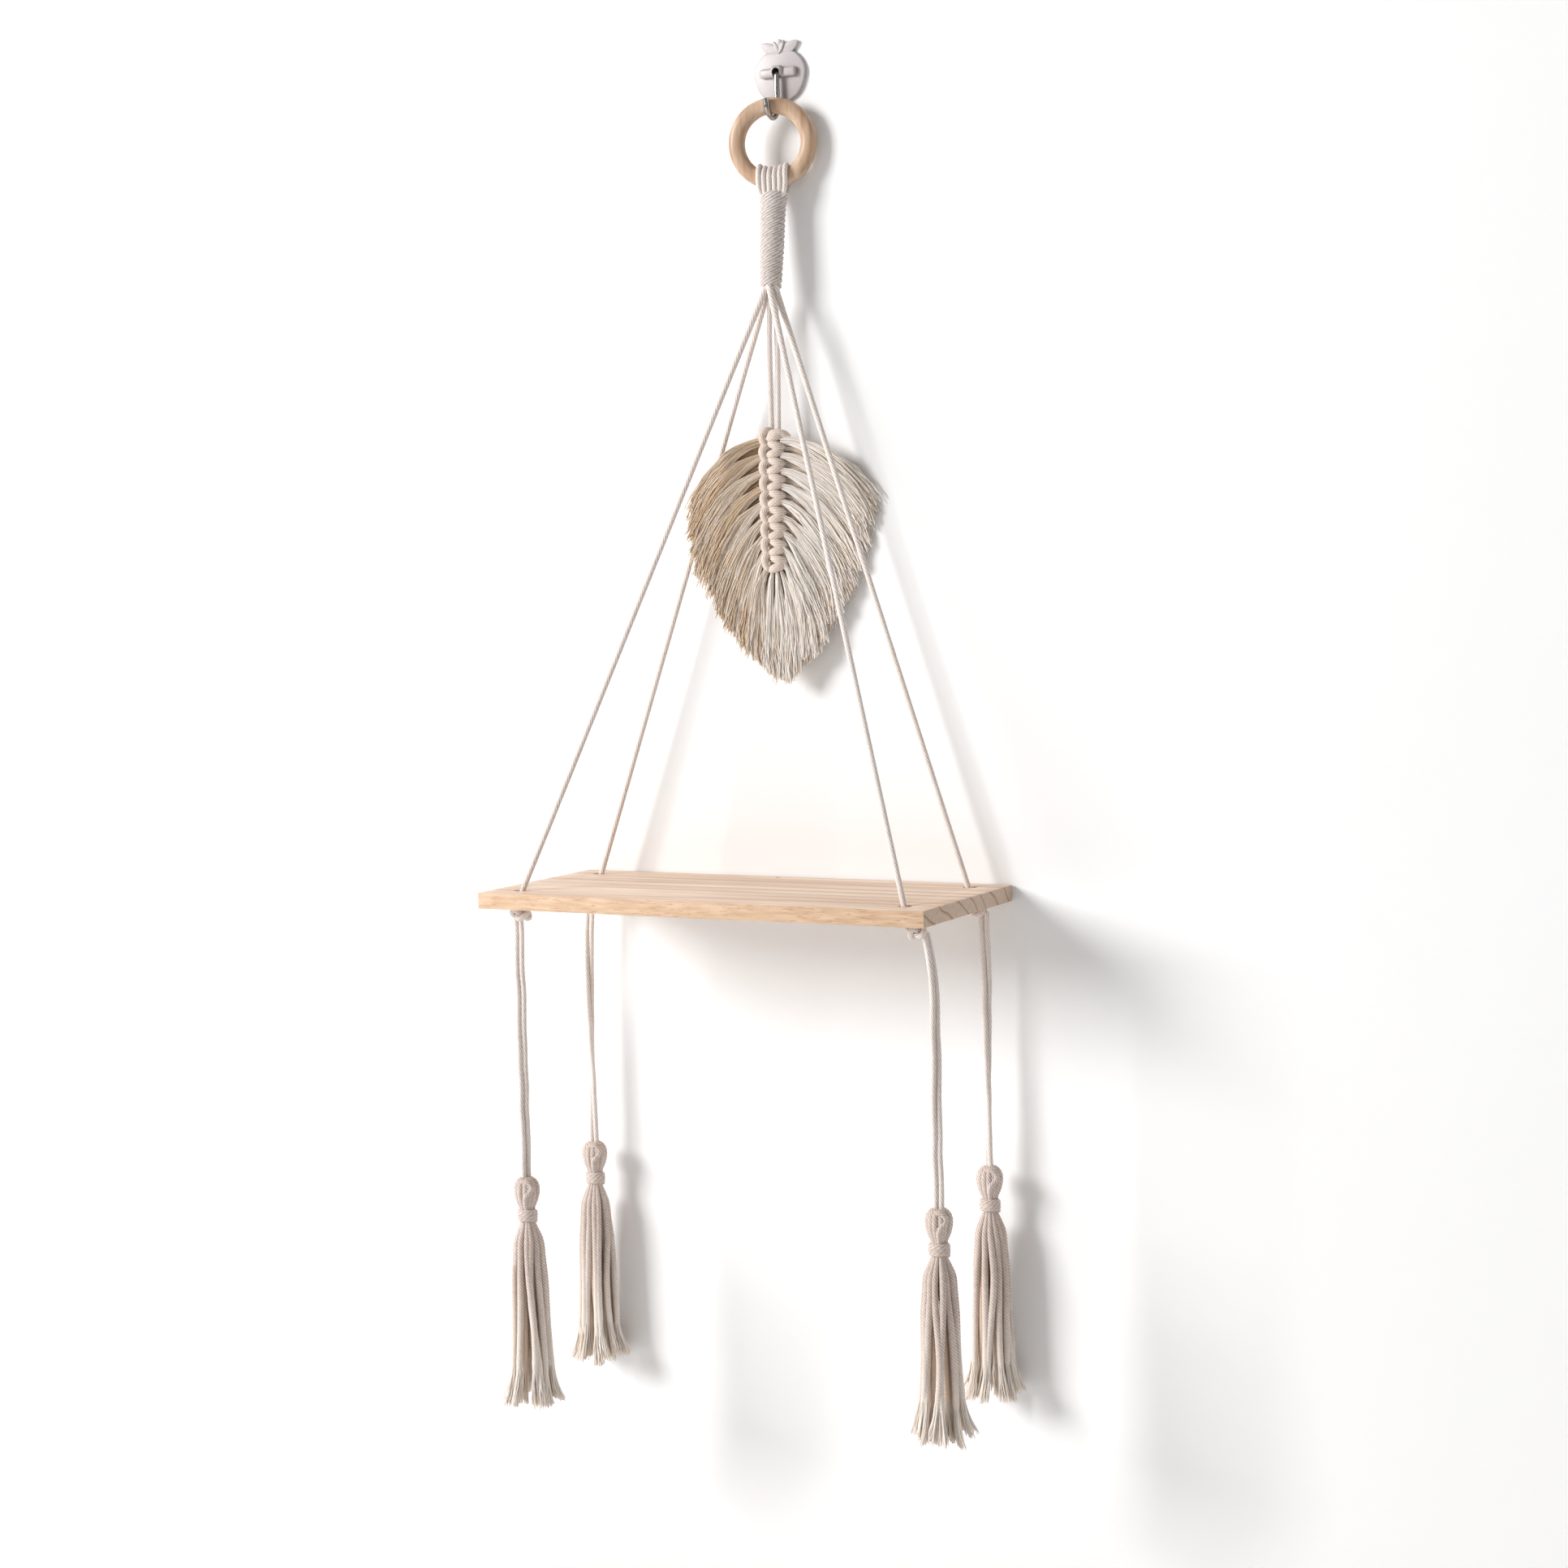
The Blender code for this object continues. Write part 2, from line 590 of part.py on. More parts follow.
def build_tassel(name, corner, parts, cutters):
    """A tassel: its head of folded cords, and a skirt of strands drawn out of the foot of the head."""
    place = tassel_place(corner)
    bm = bmesh.new()
    low = tassel_head(bm, place)
    foot_z = low[0].co.z
    inner = []
    for vert in low:
        out = Vector((vert.co.x - place.x, vert.co.y - place.y, 0.0))
        inner.append(bm.verts.new(Vector((place.x, place.y, foot_z)) + out * 0.5))
    centre = bm.verts.new((place.x, place.y, foot_z))
    roots = []
    for side in range(TASSEL_SIDES):
        after = (side + 1) % TASSEL_SIDES
        roots.append((bm.faces.new((low[side], low[after], inner[after], inner[side])), 1.0))
    for side in range(0, TASSEL_SIDES, 2):
        after = (side + 2) % TASSEL_SIDES
        roots.append((bm.faces.new((inner[side], inner[side + 1], inner[after], centre)), INNER_RING))
    bmesh.ops.recalc_face_normals(bm, faces=bm.faces)
    chance = random.Random(corner["seed"])
    length = corner["tassel"] - BAND_TOP - BAND_H
    for face, ring_share in roots:
        root = face.calc_center_median()
        out = Vector((root.x - place.x, root.y - place.y, 0.0)).normalized()
        reach = chance.uniform(0.94, 1.0)
        swing = chance.uniform(-1.0, 1.0) * STRAND_SWING
        side_way = Vector((-out.y, out.x, 0.0))
        spots = [(root - Vector((0.0, 0.0, 0.2 * MM)), 0.86)]
        width = SKIRT[0][2]
        for step in range(1, STRAND_STEPS + 1):
            share = step / STRAND_STEPS
            radius, half = blend_rows(SKIRT, share)
            radius = radius * ring_share
            at = Vector((place.x, place.y, foot_z - length * reach * share)) + out * radius
            at += side_way * swing * share
            spots.append((at, half / width))
            width = half
        grow_strand(bm, face, spots)
    tassel = object_from(bm, f"tassel_{name}")
    room = mesh_from_curve(cord_curve(f"loop_room_{name}", leg_route(corner), LEG_R + GAP, 1))
    join_shapes(tassel, [room], "DIFFERENCE", cutters)
    return finish_object(tassel, COTTON, parts)


def tassel_place(corner):
    hole = hole_place(corner)
    return Vector((hole.x + corner["leg_x"], hole.y, corner["tassel_top"]))


def build_band(name, corner, parts):
    """The binding of a tassel: a sleeve with one ridge for each turn of its cord."""
    inner = TASSEL_HEAD[-1][1] + GAP
    pitch = BAND_H / BAND_TURNS
    top = BAND_TOP + BAND_DROP
    profile = [(inner, -top)]
    for turn in range(BAND_TURNS):
        profile.append((BAND_R - BAND_GROOVE, -top - pitch * turn - BAND_EDGE * (turn == 0)))
        profile.append((BAND_R, -top - pitch * (turn + 0.5)))
    profile.append((BAND_R - BAND_GROOVE, -top - BAND_H + BAND_EDGE))
    profile.append((inner, -top - BAND_H))
    bm = bmesh.new()
    spots = [bm.verts.new((r, 0.0, z)) for r, z in profile]
    for a, b in zip(spots, spots[1:] + spots[:1]):
        bm.edges.new((a, b))
    band = object_from(bm, f"tassel_band_{name}")
    band.location = tassel_place(corner)
    turn = band.modifiers.new("turn", "SCREW")
    turn.axis = "Z"
    turn.steps = 12
    turn.render_steps = 12
    turn.use_merge_vertices = True
    turn.merge_threshold = 0.01 * MM
    turn.use_normal_calculate = True
    return finish_object(band, COTTON, parts)


def leaf_place():
    return Matrix.Translation(LEAF_TOP) @ Matrix.Rotation(LEAF_TURN, 4, "Z")


def build_leaf_cords(parts):
    """Two cords from the neck to the leaf, one behind the other at the top and side by side at the leaf."""
    starts = {"left": Vector((0.0, 0.0, -GAP)), "right": Vector((0.0, FAN_R, -GAP))}
    made = []
    for side, (name, start) in zip((-1, 1), starts.items()):
        top = NECK_BOTTOM + start
        foot = leaf_place() @ Vector((side * (ROPE_R + GAP), 0.0, GAP))
        middle = top.lerp(foot, 0.35) + Vector((side * 1.2 * MM, 0.0, 0.0))
        route = smooth_route([top, middle, foot], 3)
        made.append(finish_object(cord_curve(f"leaf_cord_{name}", route, ROPE_R, 2), COTTON, parts))
    return made


def spine_block():
    """The spine of knots: a bar cut into rows and columns, each cell of its face and back drawn out."""
    bm = bmesh.new()
    bmesh.ops.create_cube(bm, size=1.0)
    size = Matrix.Diagonal((2 * SPINE_HALF_W, 2 * SPINE_HALF_T, SPINE_LENGTH, 1.0))
    bmesh.ops.transform(bm, matrix=Matrix.Translation((0.0, 0.0, -SPINE_LENGTH / 2)) @ size, verts=bm.verts)
    pitch = SPINE_LENGTH / LOCK_ROWS
    across = SPINE_HALF_W * SPINE_SPLIT
    planes = [((0.0, 0.0, -pitch * row), (0, 0, 1)) for row in range(1, LOCK_ROWS)]
    planes += [((x, 0.0, 0.0), (1, 0, 0)) for x in (-across, across)]
    planes.append(((0.0, 0.0, 0.0), (0, 1, 0)))
    for point, normal in planes:
        whole = list(bm.verts) + list(bm.edges) + list(bm.faces)
        bmesh.ops.bisect_plane(bm, geom=whole, plane_co=point, plane_no=normal)
    for vert in bm.verts:
        inside = abs(vert.co.x) < 0.9 * SPINE_HALF_W
        if inside and abs(vert.co.y) > 0.1 * MM:
            vert.co.y = math.copysign(SPINE_CROWN, vert.co.y)
    bmesh.ops.recalc_face_normals(bm, faces=bm.faces)
    cells = [face for face in bm.faces if abs(face.normal.y) > 0.7]
    bmesh.ops.poke(bm, faces=cells, offset=LOBE)
    return bm


def lock_edge(side, share, t):
    """The line between two locks of fringe that starts at a share down the spine, at t along its run."""
    left_x, left_z, right_x, right_z = blend_rows(LEAF_TIPS, share)
    out, down, inside, above = blend_rows(LOCK_RUNS, share)
    root = Vector((side * SPINE_HALF_W, 0.0, -SPINE_LENGTH * share))
    tip = Vector((left_x, 0.0, left_z)) if side < 0 else Vector((right_x, 0.0, right_z))
    first = root + Vector((side * out, 0.0, -down))
    second = tip + Vector((-side * inside, 0.0, above))
    u = 1 - t
    return u**3 * root + 3 * u * u * t * first + 3 * u * t * t * second + t**3 * tip


def foot_edge(share, t):
    """The like line from the spine's foot, at a share of the way from its left to its right."""
    left = lock_edge(-1, 1.0, t)
    right = lock_edge(1, 1.0, t)
    sag = LEAF_END * t * (1 - (2 * share - 1) ** 2)
    return left.lerp(right, share) - Vector((0.0, 0.0, sag))


def grow_lock(bm, face, edges, upper, layer, reach):
    """Draws a face of the spine out into a flat lock between two edges. upper tells its sides apart."""
    middle = face.calc_center_median()
    sides = [(upper(v.co - middle), v.co.y > middle.y) for v in face.verts]
    for step in range(1, LOCK_STEPS + 1):
        t = step / LOCK_STEPS * reach
        a = edges[0](t)
        b = edges[1](t)
        inward = (b - a).normalized() * LOCK_GAP
        deep = layer * (1.3 + 1.2 * math.sin(math.pi * min(1.0, t * 1.25))) * MM
        face = bmesh.ops.extrude_discrete_faces(bm, faces=[face])["faces"][0]
        for vert, (first, front) in zip(face.verts, sides):
            at = a + inward if first else b - inward
            vert.co = at + Vector((0.0, deep + (LOCK_HALF_T if front else -LOCK_HALF_T), 0.0))


def build_leaf(parts):
    """The knotted leaf: its spine, with the combed locks of its fringe drawn out of the spine's edges."""
    bm = spine_block()
    chance = random.Random(4)
    roots = []
    for face in bm.faces:
        if abs(face.normal.x) > 0.7 or face.normal.z < -0.7:
            roots.append((face, face.calc_center_median(), abs(face.normal.x) > 0.7))
    for face, middle, at_side in roots:
        reach = chance.uniform(0.93, 1.0)
        layer = math.copysign(1.0, middle.y)
        side = math.copysign(1.0, middle.x)
        if at_side:
            ends = [-max(v.co.z for v in face.verts), -min(v.co.z for v in face.verts)]
            edges = [lambda t, s=end / SPINE_LENGTH, k=side: lock_edge(k, s, t) for end in ends]
            grow_lock(bm, face, edges, lambda d: d.z > 0, layer, reach)
        else:
            ends = [min(v.co.x for v in face.verts), max(v.co.x for v in face.verts)]
            edges = [lambda t, s=0.5 + end / SPINE_HALF_W / 2: foot_edge(s, t) for end in ends]
            grow_lock(bm, face, edges, lambda d: d.x < 0, layer, reach)
    leaf = object_from(bm, "leaf")
    leaf.matrix_world = leaf_place()
    return finish_object(leaf, COTTON, parts)


def build_board(parts, cutters):
    """The board, with a drilled hole near each corner."""
    middle = (BOARD_X, BOARD_BACK - BOARD[1] / 2, BOARD_TOP - BOARD[2] / 2)
    board = box_piece("board", BOARD, middle, BOARD_EDGE)
    drills = []
    for corner in CORNERS.values():
        hole = hole_place(corner)
        bpy.ops.mesh.primitive_cylinder_add(
            vertices=20,
            radius=HOLE_R,
            depth=4 * BOARD[2],
            location=(hole.x, hole.y, BOARD_TOP - BOARD[2] / 2),
        )
        drills.append(bpy.context.object)
    join_shapes(board, drills, "DIFFERENCE", cutters)
    return finish_object(board, PINE, parts)


def main():
    parts, cutters = start_clean()
    build_plate(parts, cutters)
    build_wire(parts)
    build_ring(parts)
    build_neck(parts, cutters)
    build_leaf_cords(parts)
    build_leaf(parts)
    build_board(parts, cutters)
    for name, corner in CORNERS.items():
        build_cord(name, corner, parts, cutters)
        build_tassel(name, corner, parts, cutters)
        build_band(name, corner, parts)


main()
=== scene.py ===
# %% [markdown]
# A woven wall shelf, dressed for its picture. A pine board hangs on four cotton cords from a
# wooden ring and an adhesive wall hook. A knotted leaf hangs in the middle and a tassel hangs under
# each corner. The solids of every part are already made and packed. This lesson gives each one the
# surface of the real thing: twisted cord, combed fringe, frayed ends, wood grain, moulded plastic
# and bent steel.
#
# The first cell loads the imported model. All sizes are in metres, +Z is up, and the wall is y = 0.

import math
import random

import bmesh
import bpy
from mathutils import Matrix, Vector


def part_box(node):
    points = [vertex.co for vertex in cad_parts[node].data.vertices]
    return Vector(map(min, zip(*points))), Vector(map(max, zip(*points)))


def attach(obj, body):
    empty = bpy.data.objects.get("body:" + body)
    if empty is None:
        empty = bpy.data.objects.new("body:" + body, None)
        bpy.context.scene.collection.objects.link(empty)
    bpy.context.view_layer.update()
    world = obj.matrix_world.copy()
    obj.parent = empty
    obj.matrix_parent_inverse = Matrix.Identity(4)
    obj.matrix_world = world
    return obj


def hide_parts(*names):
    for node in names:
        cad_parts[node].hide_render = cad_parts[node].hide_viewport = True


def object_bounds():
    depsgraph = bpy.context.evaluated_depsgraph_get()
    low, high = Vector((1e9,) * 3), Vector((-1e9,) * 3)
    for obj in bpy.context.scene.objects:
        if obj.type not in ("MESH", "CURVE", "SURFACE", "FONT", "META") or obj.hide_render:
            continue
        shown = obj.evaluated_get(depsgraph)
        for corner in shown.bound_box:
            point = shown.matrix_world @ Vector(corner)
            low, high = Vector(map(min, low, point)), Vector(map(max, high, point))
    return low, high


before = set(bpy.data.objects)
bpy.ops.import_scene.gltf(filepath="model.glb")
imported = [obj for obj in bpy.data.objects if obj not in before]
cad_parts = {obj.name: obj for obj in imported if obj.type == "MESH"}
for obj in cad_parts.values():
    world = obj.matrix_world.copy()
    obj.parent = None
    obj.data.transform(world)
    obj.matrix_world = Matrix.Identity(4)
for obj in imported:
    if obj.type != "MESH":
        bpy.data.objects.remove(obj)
MM = 0.001
cad_low, cad_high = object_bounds()
print("the packed model is", [round(side / MM) for side in cad_high - cad_low], "mm")

# %% [markdown]
# The camera stands where the photographer stood: to the right of the shelf, looking left and a
# little down. It comes first because everything after it is judged through it. Its place was found
# by matching the board's corners and holes, so it is given as a place and three angles. The three
# direction vectors of the view make the columns of a rotation matrix, which is simpler to check
# than a chain of Euler angles.

# %% Camera
PHOTO_SIDE = 1932
FOCAL_PIXELS = 3341.8
SENSOR = 36.0
CAMERA_PLACE = Vector((0.7714, -1.5121, -0.3007))
CAMERA_YAW = math.radians(27.302)
CAMERA_PITCH = math.radians(-4.594)
CAMERA_ROLL = math.radians(-1.316)


def placed(name, data):
    """A new object in the scene."""
    made = bpy.data.objects.new(name, data)
    bpy.context.scene.collection.objects.link(made)
    return made


def view_axes(yaw, pitch, roll):
    """The right, up and forward directions of a camera that first looks along +Y."""
    level = Vector((math.cos(yaw), math.sin(yaw), 0.0))
    ahead = Vector((-math.sin(yaw) * math.cos(pitch), math.cos(yaw) * math.cos(pitch), math.sin(pitch)))
    upward = level.cross(ahead)
    right = level * math.cos(roll) + upward * math.sin(roll)
    return right, right.cross(ahead), ahead


right, up, ahead = view_axes(CAMERA_YAW, CAMERA_PITCH, CAMERA_ROLL)
camera_data = bpy.data.cameras.new("camera")
camera_data.sensor_width = SENSOR
camera_data.lens = SENSOR * FOCAL_PIXELS / PHOTO_SIDE
camera = placed("camera", camera_data)
camera.matrix_world = Matrix.Translation(CAMERA_PLACE) @ Matrix((right, up, -ahead)).transposed().to_4x4()
bpy.context.scene.camera = camera
print("the lens is", round(camera_data.lens, 2), "mm")

# %% [markdown]
# The room is plain: a white wall right behind the shelf and a pale floor under it, joined by a
# curved corner so that no line shows. The wall matters, because the soft shadows that the ring, the
# leaf and the tassels cast on it show how far each stands off. It is one sheet of faces, and its
# material is see-through from behind, so that the shelf can be looked at from the back as well.
#
# Two helpers start here and serve every node tree below: one gives a node what its inputs read, and
# the other adds a node. A third starts a material.

# %% Wall and floor
WALL_GAP = 0.6 * MM
FLOOR_Z = cad_low.z - 120 * MM
CORNER_R = 90 * MM
CORNER_STEPS = 12
ROOM_HALF = 4.0
ROOM_TOP = 2.5
ROOM_WHITE = (0.92, 0.92, 0.92, 1.0)


def feed(tree, node, **feeds):
    """Gives inputs, by name or as n0, n1 and so on, a socket to read or a plain value."""
    for key, value in feeds.items():
        spot = int(key[1:]) if key[0] == "n" and key[1:].isdigit() else key.replace("_", " ")
        target = node.inputs[spot]
        if isinstance(value, bpy.types.NodeSocket):
            tree.links.new(value, target)
        else:
            target.default_value = value


def put(tree, kind, settings=None, **feeds):
    """Adds a node with its settings and what its inputs read."""
    made = tree.nodes.new(kind)
    for key, value in (settings or {}).items():
        setattr(made, key, value)
    feed(tree, made, **feeds)
    return made


def surface(name, **values):
    """A new material, its tree, and its shader with these values."""
    made = bpy.data.materials.new(name)
    made.use_nodes = True
    shader = made.node_tree.nodes["Principled BSDF"]
    feed(made.node_tree, shader, **values)
    return made, made.node_tree, shader


def room_material():
    made, tree, shader = surface("pale_room", Base_Color=ROOM_WHITE, Roughness=0.9, Specular_IOR_Level=0.1)
    behind = put(tree, "ShaderNodeNewGeometry").outputs["Backfacing"]
    clear = put(tree, "ShaderNodeBsdfTransparent").outputs[0]
    seen = put(tree, "ShaderNodeMixShader", n0=behind, n1=shader.outputs[0], n2=clear).outputs[0]
    feed(tree, tree.nodes["Material Output"], Surface=seen)
    return made


def mesh_of(bm, name):
    """The finished bmesh as a new object."""
    mesh = bpy.data.meshes.new(name)
    bm.to_mesh(mesh)
    bm.free()
    return placed(name, mesh)


def room_sheet():
    """The wall, the curved corner and the floor as one strip of faces that look towards the camera."""
    profile = [(WALL_GAP, ROOM_TOP)]
    for step in range(CORNER_STEPS + 1):
        a = math.radians(90 * step / CORNER_STEPS)
        profile.append((WALL_GAP - CORNER_R * (1 - math.cos(a)), FLOOR_Z + CORNER_R * (1 - math.sin(a))))
    profile.append((-ROOM_HALF, FLOOR_Z))
    bm = bmesh.new()
    rows = [[bm.verts.new((x, y, z)) for y, z in profile] for x in (-ROOM_HALF, ROOM_HALF)]
    for a, b, c, d in zip(rows[0], rows[0][1:], rows[1][1:], rows[1]):
        bm.faces.new((a, b, c, d))
    made = mesh_of(bm, "room")
    made.data.shade_smooth()
    return made


room = room_sheet()
room.data.materials.append(room_material())
print("the floor is", round((cad_low.z - FLOOR_Z) / MM), "mm under the tassels")

# %% [markdown]
# The light is a soft window to the left, in front and a little above, so that each shadow falls to
# the right and slightly down, as in the photograph. The board's front corner stands 130 mm off the
# wall and its shadow lies about as far to the right, so the light comes in at 45 degrees. A faint
# panel from the camera's side and an even surround keep the shaded sides open. A product picture on
# pure white is shown without a film curve, so white stays white.

# %% Light
LOOK_AT = Vector((0.0, -0.05, -0.42))
KEY_FROM = Vector((-2.58, -2.735, 0.92))
KEY_SIZE = 1.5
KEY_POWER = 156.0
FILL_FROM = Vector((0.9, -1.9, 0.4))
FILL_SIZE = 1.6
FILL_POWER = 2.5
SURROUND = 0.22
SURROUND_COLOUR = (1.0, 0.965, 0.945, 1.0)


def soft_panel(name, place, size, power):
    """A square lamp that faces the middle of the shelf."""
    data = bpy.data.lights.new(name, "AREA")
    data.shape = "SQUARE"
    data.size = size
    data.energy = power
    lamp = placed(name, data)
    lamp.location = place
    lamp.rotation_euler = (LOOK_AT - place).to_track_quat("-Z", "Y").to_euler()


soft_panel("window", KEY_FROM, KEY_SIZE, KEY_POWER)
soft_panel("fill", FILL_FROM, FILL_SIZE, FILL_POWER)
world = bpy.data.worlds.new("surround")
world.use_nodes = True
feed(world.node_tree, world.node_tree.nodes["Background"], Color=SURROUND_COLOUR, Strength=SURROUND)
bpy.context.scene.world = world
bpy.context.scene.view_settings.view_transform = "Standard"
print("two soft panels and an even surround")

# %% [markdown]
# Every material below is built from a few small steps: a sum, a noise, a stretch of the pattern, a
# reading of one value on another's scale, a blend of two colours and a fine bump. Each gets a helper
# with a plain name, so that a material reads as a list of what is seen on it.

# %% Small steps of a material
def calc(tree, operation, *numbers):
    """One sum of up to three numbers or sockets."""
    feeds = {f"n{index}": number for index, number in enumerate(numbers)}
    return put(tree, "ShaderNodeMath", {"operation": operation}, **feeds).outputs[0]


def object_place(tree):
    return put(tree, "ShaderNodeTexCoord").outputs["Object"]


def parts_of(tree, place):
    """The X, Y and Z of a place."""
    return put(tree, "ShaderNodeSeparateXYZ", n0=place).outputs


def stored(tree, name, output="Fac"):
    """An attribute that the mesh carries."""
    return put(tree, "ShaderNodeAttribute", {"attribute_name": name}).outputs[output]


def mapped(tree, place, **ways):
    """A place moved, turned or stretched."""
    return put(tree, "ShaderNodeMapping", Vector=place, **ways).outputs[0]


def noise(tree, place, scale, detail):
    return put(tree, "ShaderNodeTexNoise", Vector=place, Scale=scale, Detail=detail).outputs["Fac"]


def between(tree, value, low, high, start=0.0, end=1.0):
    """Where a value stands from low to high, told on a scale from start to end."""
    ends = {"From_Min": low, "From_Max": high, "To_Min": start, "To_Max": end}
    return put(tree, "ShaderNodeMapRange", Value=value, **ends).outputs[0]


def blend(tree, share, first, second):
    """A colour between two others."""
    return put(tree, "ShaderNodeMix", {"data_type": "RGBA"}, n0=share, n6=first, n7=second).outputs[2]


def bumped(tree, grain, strength, depth):
    return put(tree, "ShaderNodeBump", Strength=strength, Distance=depth, Height=grain).outputs[0]


print("nine small steps are ready")

# %% [markdown]
# Cotton comes in two finishes here, twisted and combed, and in six shades. Cord is spun from many ends, so it
# shows raised plies and fine fibres that run with the twist, and the grooves between the plies get dark lines
# of painted shade. Combed fringe is warmer and lets some light through. Each string has its own tone at
# random, and strings deep in a bundle are darker, which is painted shade. All of it is very rough, with a
# soft sheen from loose fibres.
#
# The pattern has to follow the cord as it turns, so the shader reads attributes that the cord's maker stores
# on the mesh. "ridge" is 0 in a groove and 1 on a ply's crown, and the colour darkens towards 0 as painted
# shade in the grooves. "skin" is a place in the straightened cord, so noise that is stretched along it
# becomes fibres. "warm" is how far the cotton goes to a dark tan: painted shade deep inside the leaf and the
# tassels, and more tan on the leaf's left side.

# %% Cotton materials
CORD_LIGHT = (0.90, 0.82, 0.775, 1.0)
CORD_DARK = (0.42, 0.31, 0.255, 1.0)
ROPE_LIGHT = (1.0, 0.95, 0.92, 1.0)
ROPE_DARK = (0.66, 0.55, 0.485, 1.0)
NECK_LIGHT = (0.90, 0.845, 0.82, 1.0)
NECK_DARK = (0.38, 0.295, 0.255, 1.0)
SPINE_LIGHT = (0.90, 0.82, 0.755, 1.0)
SPINE_DARK = (0.58, 0.45, 0.36, 1.0)
FRINGE_LIGHT = (1.0, 0.905, 0.81, 1.0)
FRINGE_DARK = (0.62, 0.405, 0.255, 1.0)
# a dark tan: painted shade deep inside the leaf and the tassels, and the tan of the leaf's left side
WARM_TAN_AND_SHADE = (0.62, 0.415, 0.255, 1.0)
FRAYED_LIGHT = (1.0, 0.885, 0.785, 1.0)
FRAYED_DARK = (0.86, 0.70, 0.57, 1.0)
# the tassels are cleaner and creamier towards their ends
CREAM = (1.0, 0.935, 0.85, 1.0)
CREAM_FROM = cad_low.z + 88 * MM
CREAM_TO = cad_low.z + 24 * MM
CREAM_SHARE = 0.6
COTTON = {"Roughness": 0.92, "Specular_IOR_Level": 0.25, "Sheen_Weight": 0.2, "Sheen_Roughness": 0.45}
COMBED = {
    **COTTON,
    "Sheen_Weight": 0.4,
    "Sheen_Tint": (1.0, 0.86, 0.74, 1.0),
    "Subsurface_Weight": 0.35,
    "Subsurface_Radius": (2.4 * MM, 1.6 * MM, 1.1 * MM),
    "Subsurface_Scale": 1.0,
}
FIBRE_STRETCH = (1.0, 1.0, 0.09)


def twisted_cotton(name, light, dark, creamy=0.0):
    """Cotton of a twisted cord, which turns creamy at the foot of the shelf by the share given."""
    made, tree, shader = surface(name, **COTTON)
    place = object_place(tree)
    skin = mapped(tree, stored(tree, "skin", "Vector"), Scale=FIBRE_STRETCH)
    fibres = noise(tree, skin, 2600.0, 3.0)
    # painted shade: the colour darkens into the grooves between the plies, where ridge is 0
    depth = between(tree, stored(tree, "ridge"), 0.0, 0.9)
    groove_shade_and_fibres = calc(tree, "MULTIPLY", depth, between(tree, fibres, 0.3, 0.65, start=0.72))
    patch = between(tree, noise(tree, place, 55.0, 2.0), 0.3, 0.7, start=0.82)
    blotch = between(tree, noise(tree, place, 520.0, 2.0), 0.35, 0.6, start=0.7)
    tone = calc(tree, "MULTIPLY", groove_shade_and_fibres, calc(tree, "MULTIPLY", patch, blotch))
    colour = blend(tree, tone, dark, light)
    low = between(tree, parts_of(tree, place)["Z"], CREAM_TO, CREAM_FROM, creamy, 0.0)
    colour = blend(tree, low, colour, CREAM)
    colour = blend(tree, stored(tree, "warm"), colour, WARM_TAN_AND_SHADE)
    feed(tree, shader, Base_Color=colour, Normal=bumped(tree, fibres, 0.5, 0.15 * MM))
    return made


def combed_cotton(name, light, dark):
    """Cotton of combed strings, darker deep in a bundle as painted shade, and lighter towards their tips."""
    made, tree, shader = surface(name, **COMBED)
    place = object_place(tree)
    # the shade attribute holds painted shade for strings deep in a bundle, and a random tone
    own = calc(tree, "MULTIPLY", stored(tree, "shade"), 1.15)
    clouded = calc(tree, "MULTIPLY_ADD", noise(tree, place, 70.0, 2.0), 0.5, own)
    tone = calc(tree, "MULTIPLY_ADD", stored(tree, "along"), 0.12, clouded)
    tone.node.use_clamp = True
    colour = blend(tree, stored(tree, "warm"), blend(tree, tone, dark, light), WARM_TAN_AND_SHADE)
    twist = noise(tree, place, 1500.0, 1.0)
    feed(tree, shader, Base_Color=colour, Normal=bumped(tree, twist, 0.35, 0.08 * MM))
    return made


cord_cotton = twisted_cotton("cord_cotton", CORD_LIGHT, CORD_DARK, CREAM_SHARE)
rope_cotton = twisted_cotton("rope_cotton", ROPE_LIGHT, ROPE_DARK)
neck_cotton = twisted_cotton("neck_cotton", NECK_LIGHT, NECK_DARK)
spine_cotton = twisted_cotton("leaf_spine_cotton", SPINE_LIGHT, SPINE_DARK)
fringe_cotton = combed_cotton("fringe_cotton", FRINGE_LIGHT, FRINGE_DARK)
frayed_cotton = combed_cotton("frayed_cotton", FRAYED_LIGHT, FRAYED_DARK)
print("cotton materials:", [made.name for made in bpy.data.materials if "cotton" in made.name])

# %% [markdown]
# Every cord here is the same thing: a line through space with a ridged section that turns as it
# goes. That is a rule, so Geometry Nodes make it. The tree takes bare lines, smooths and resamples
# them, tilts their section by one full turn for each length of twist, and sweeps a lobed circle
# along them. One tree serves ropes, knots, bindings and tassel strands, with other inputs. The tilt
# is negative, so that the plies of a hanging cord fall to the right, as they do on this shelf.
#
# Lines come in as a mesh of edges with a "swell" value at each point, which thins or fattens the
# cord there.

# %% The twisted cord tree
POINTS_PER_PLY = 3


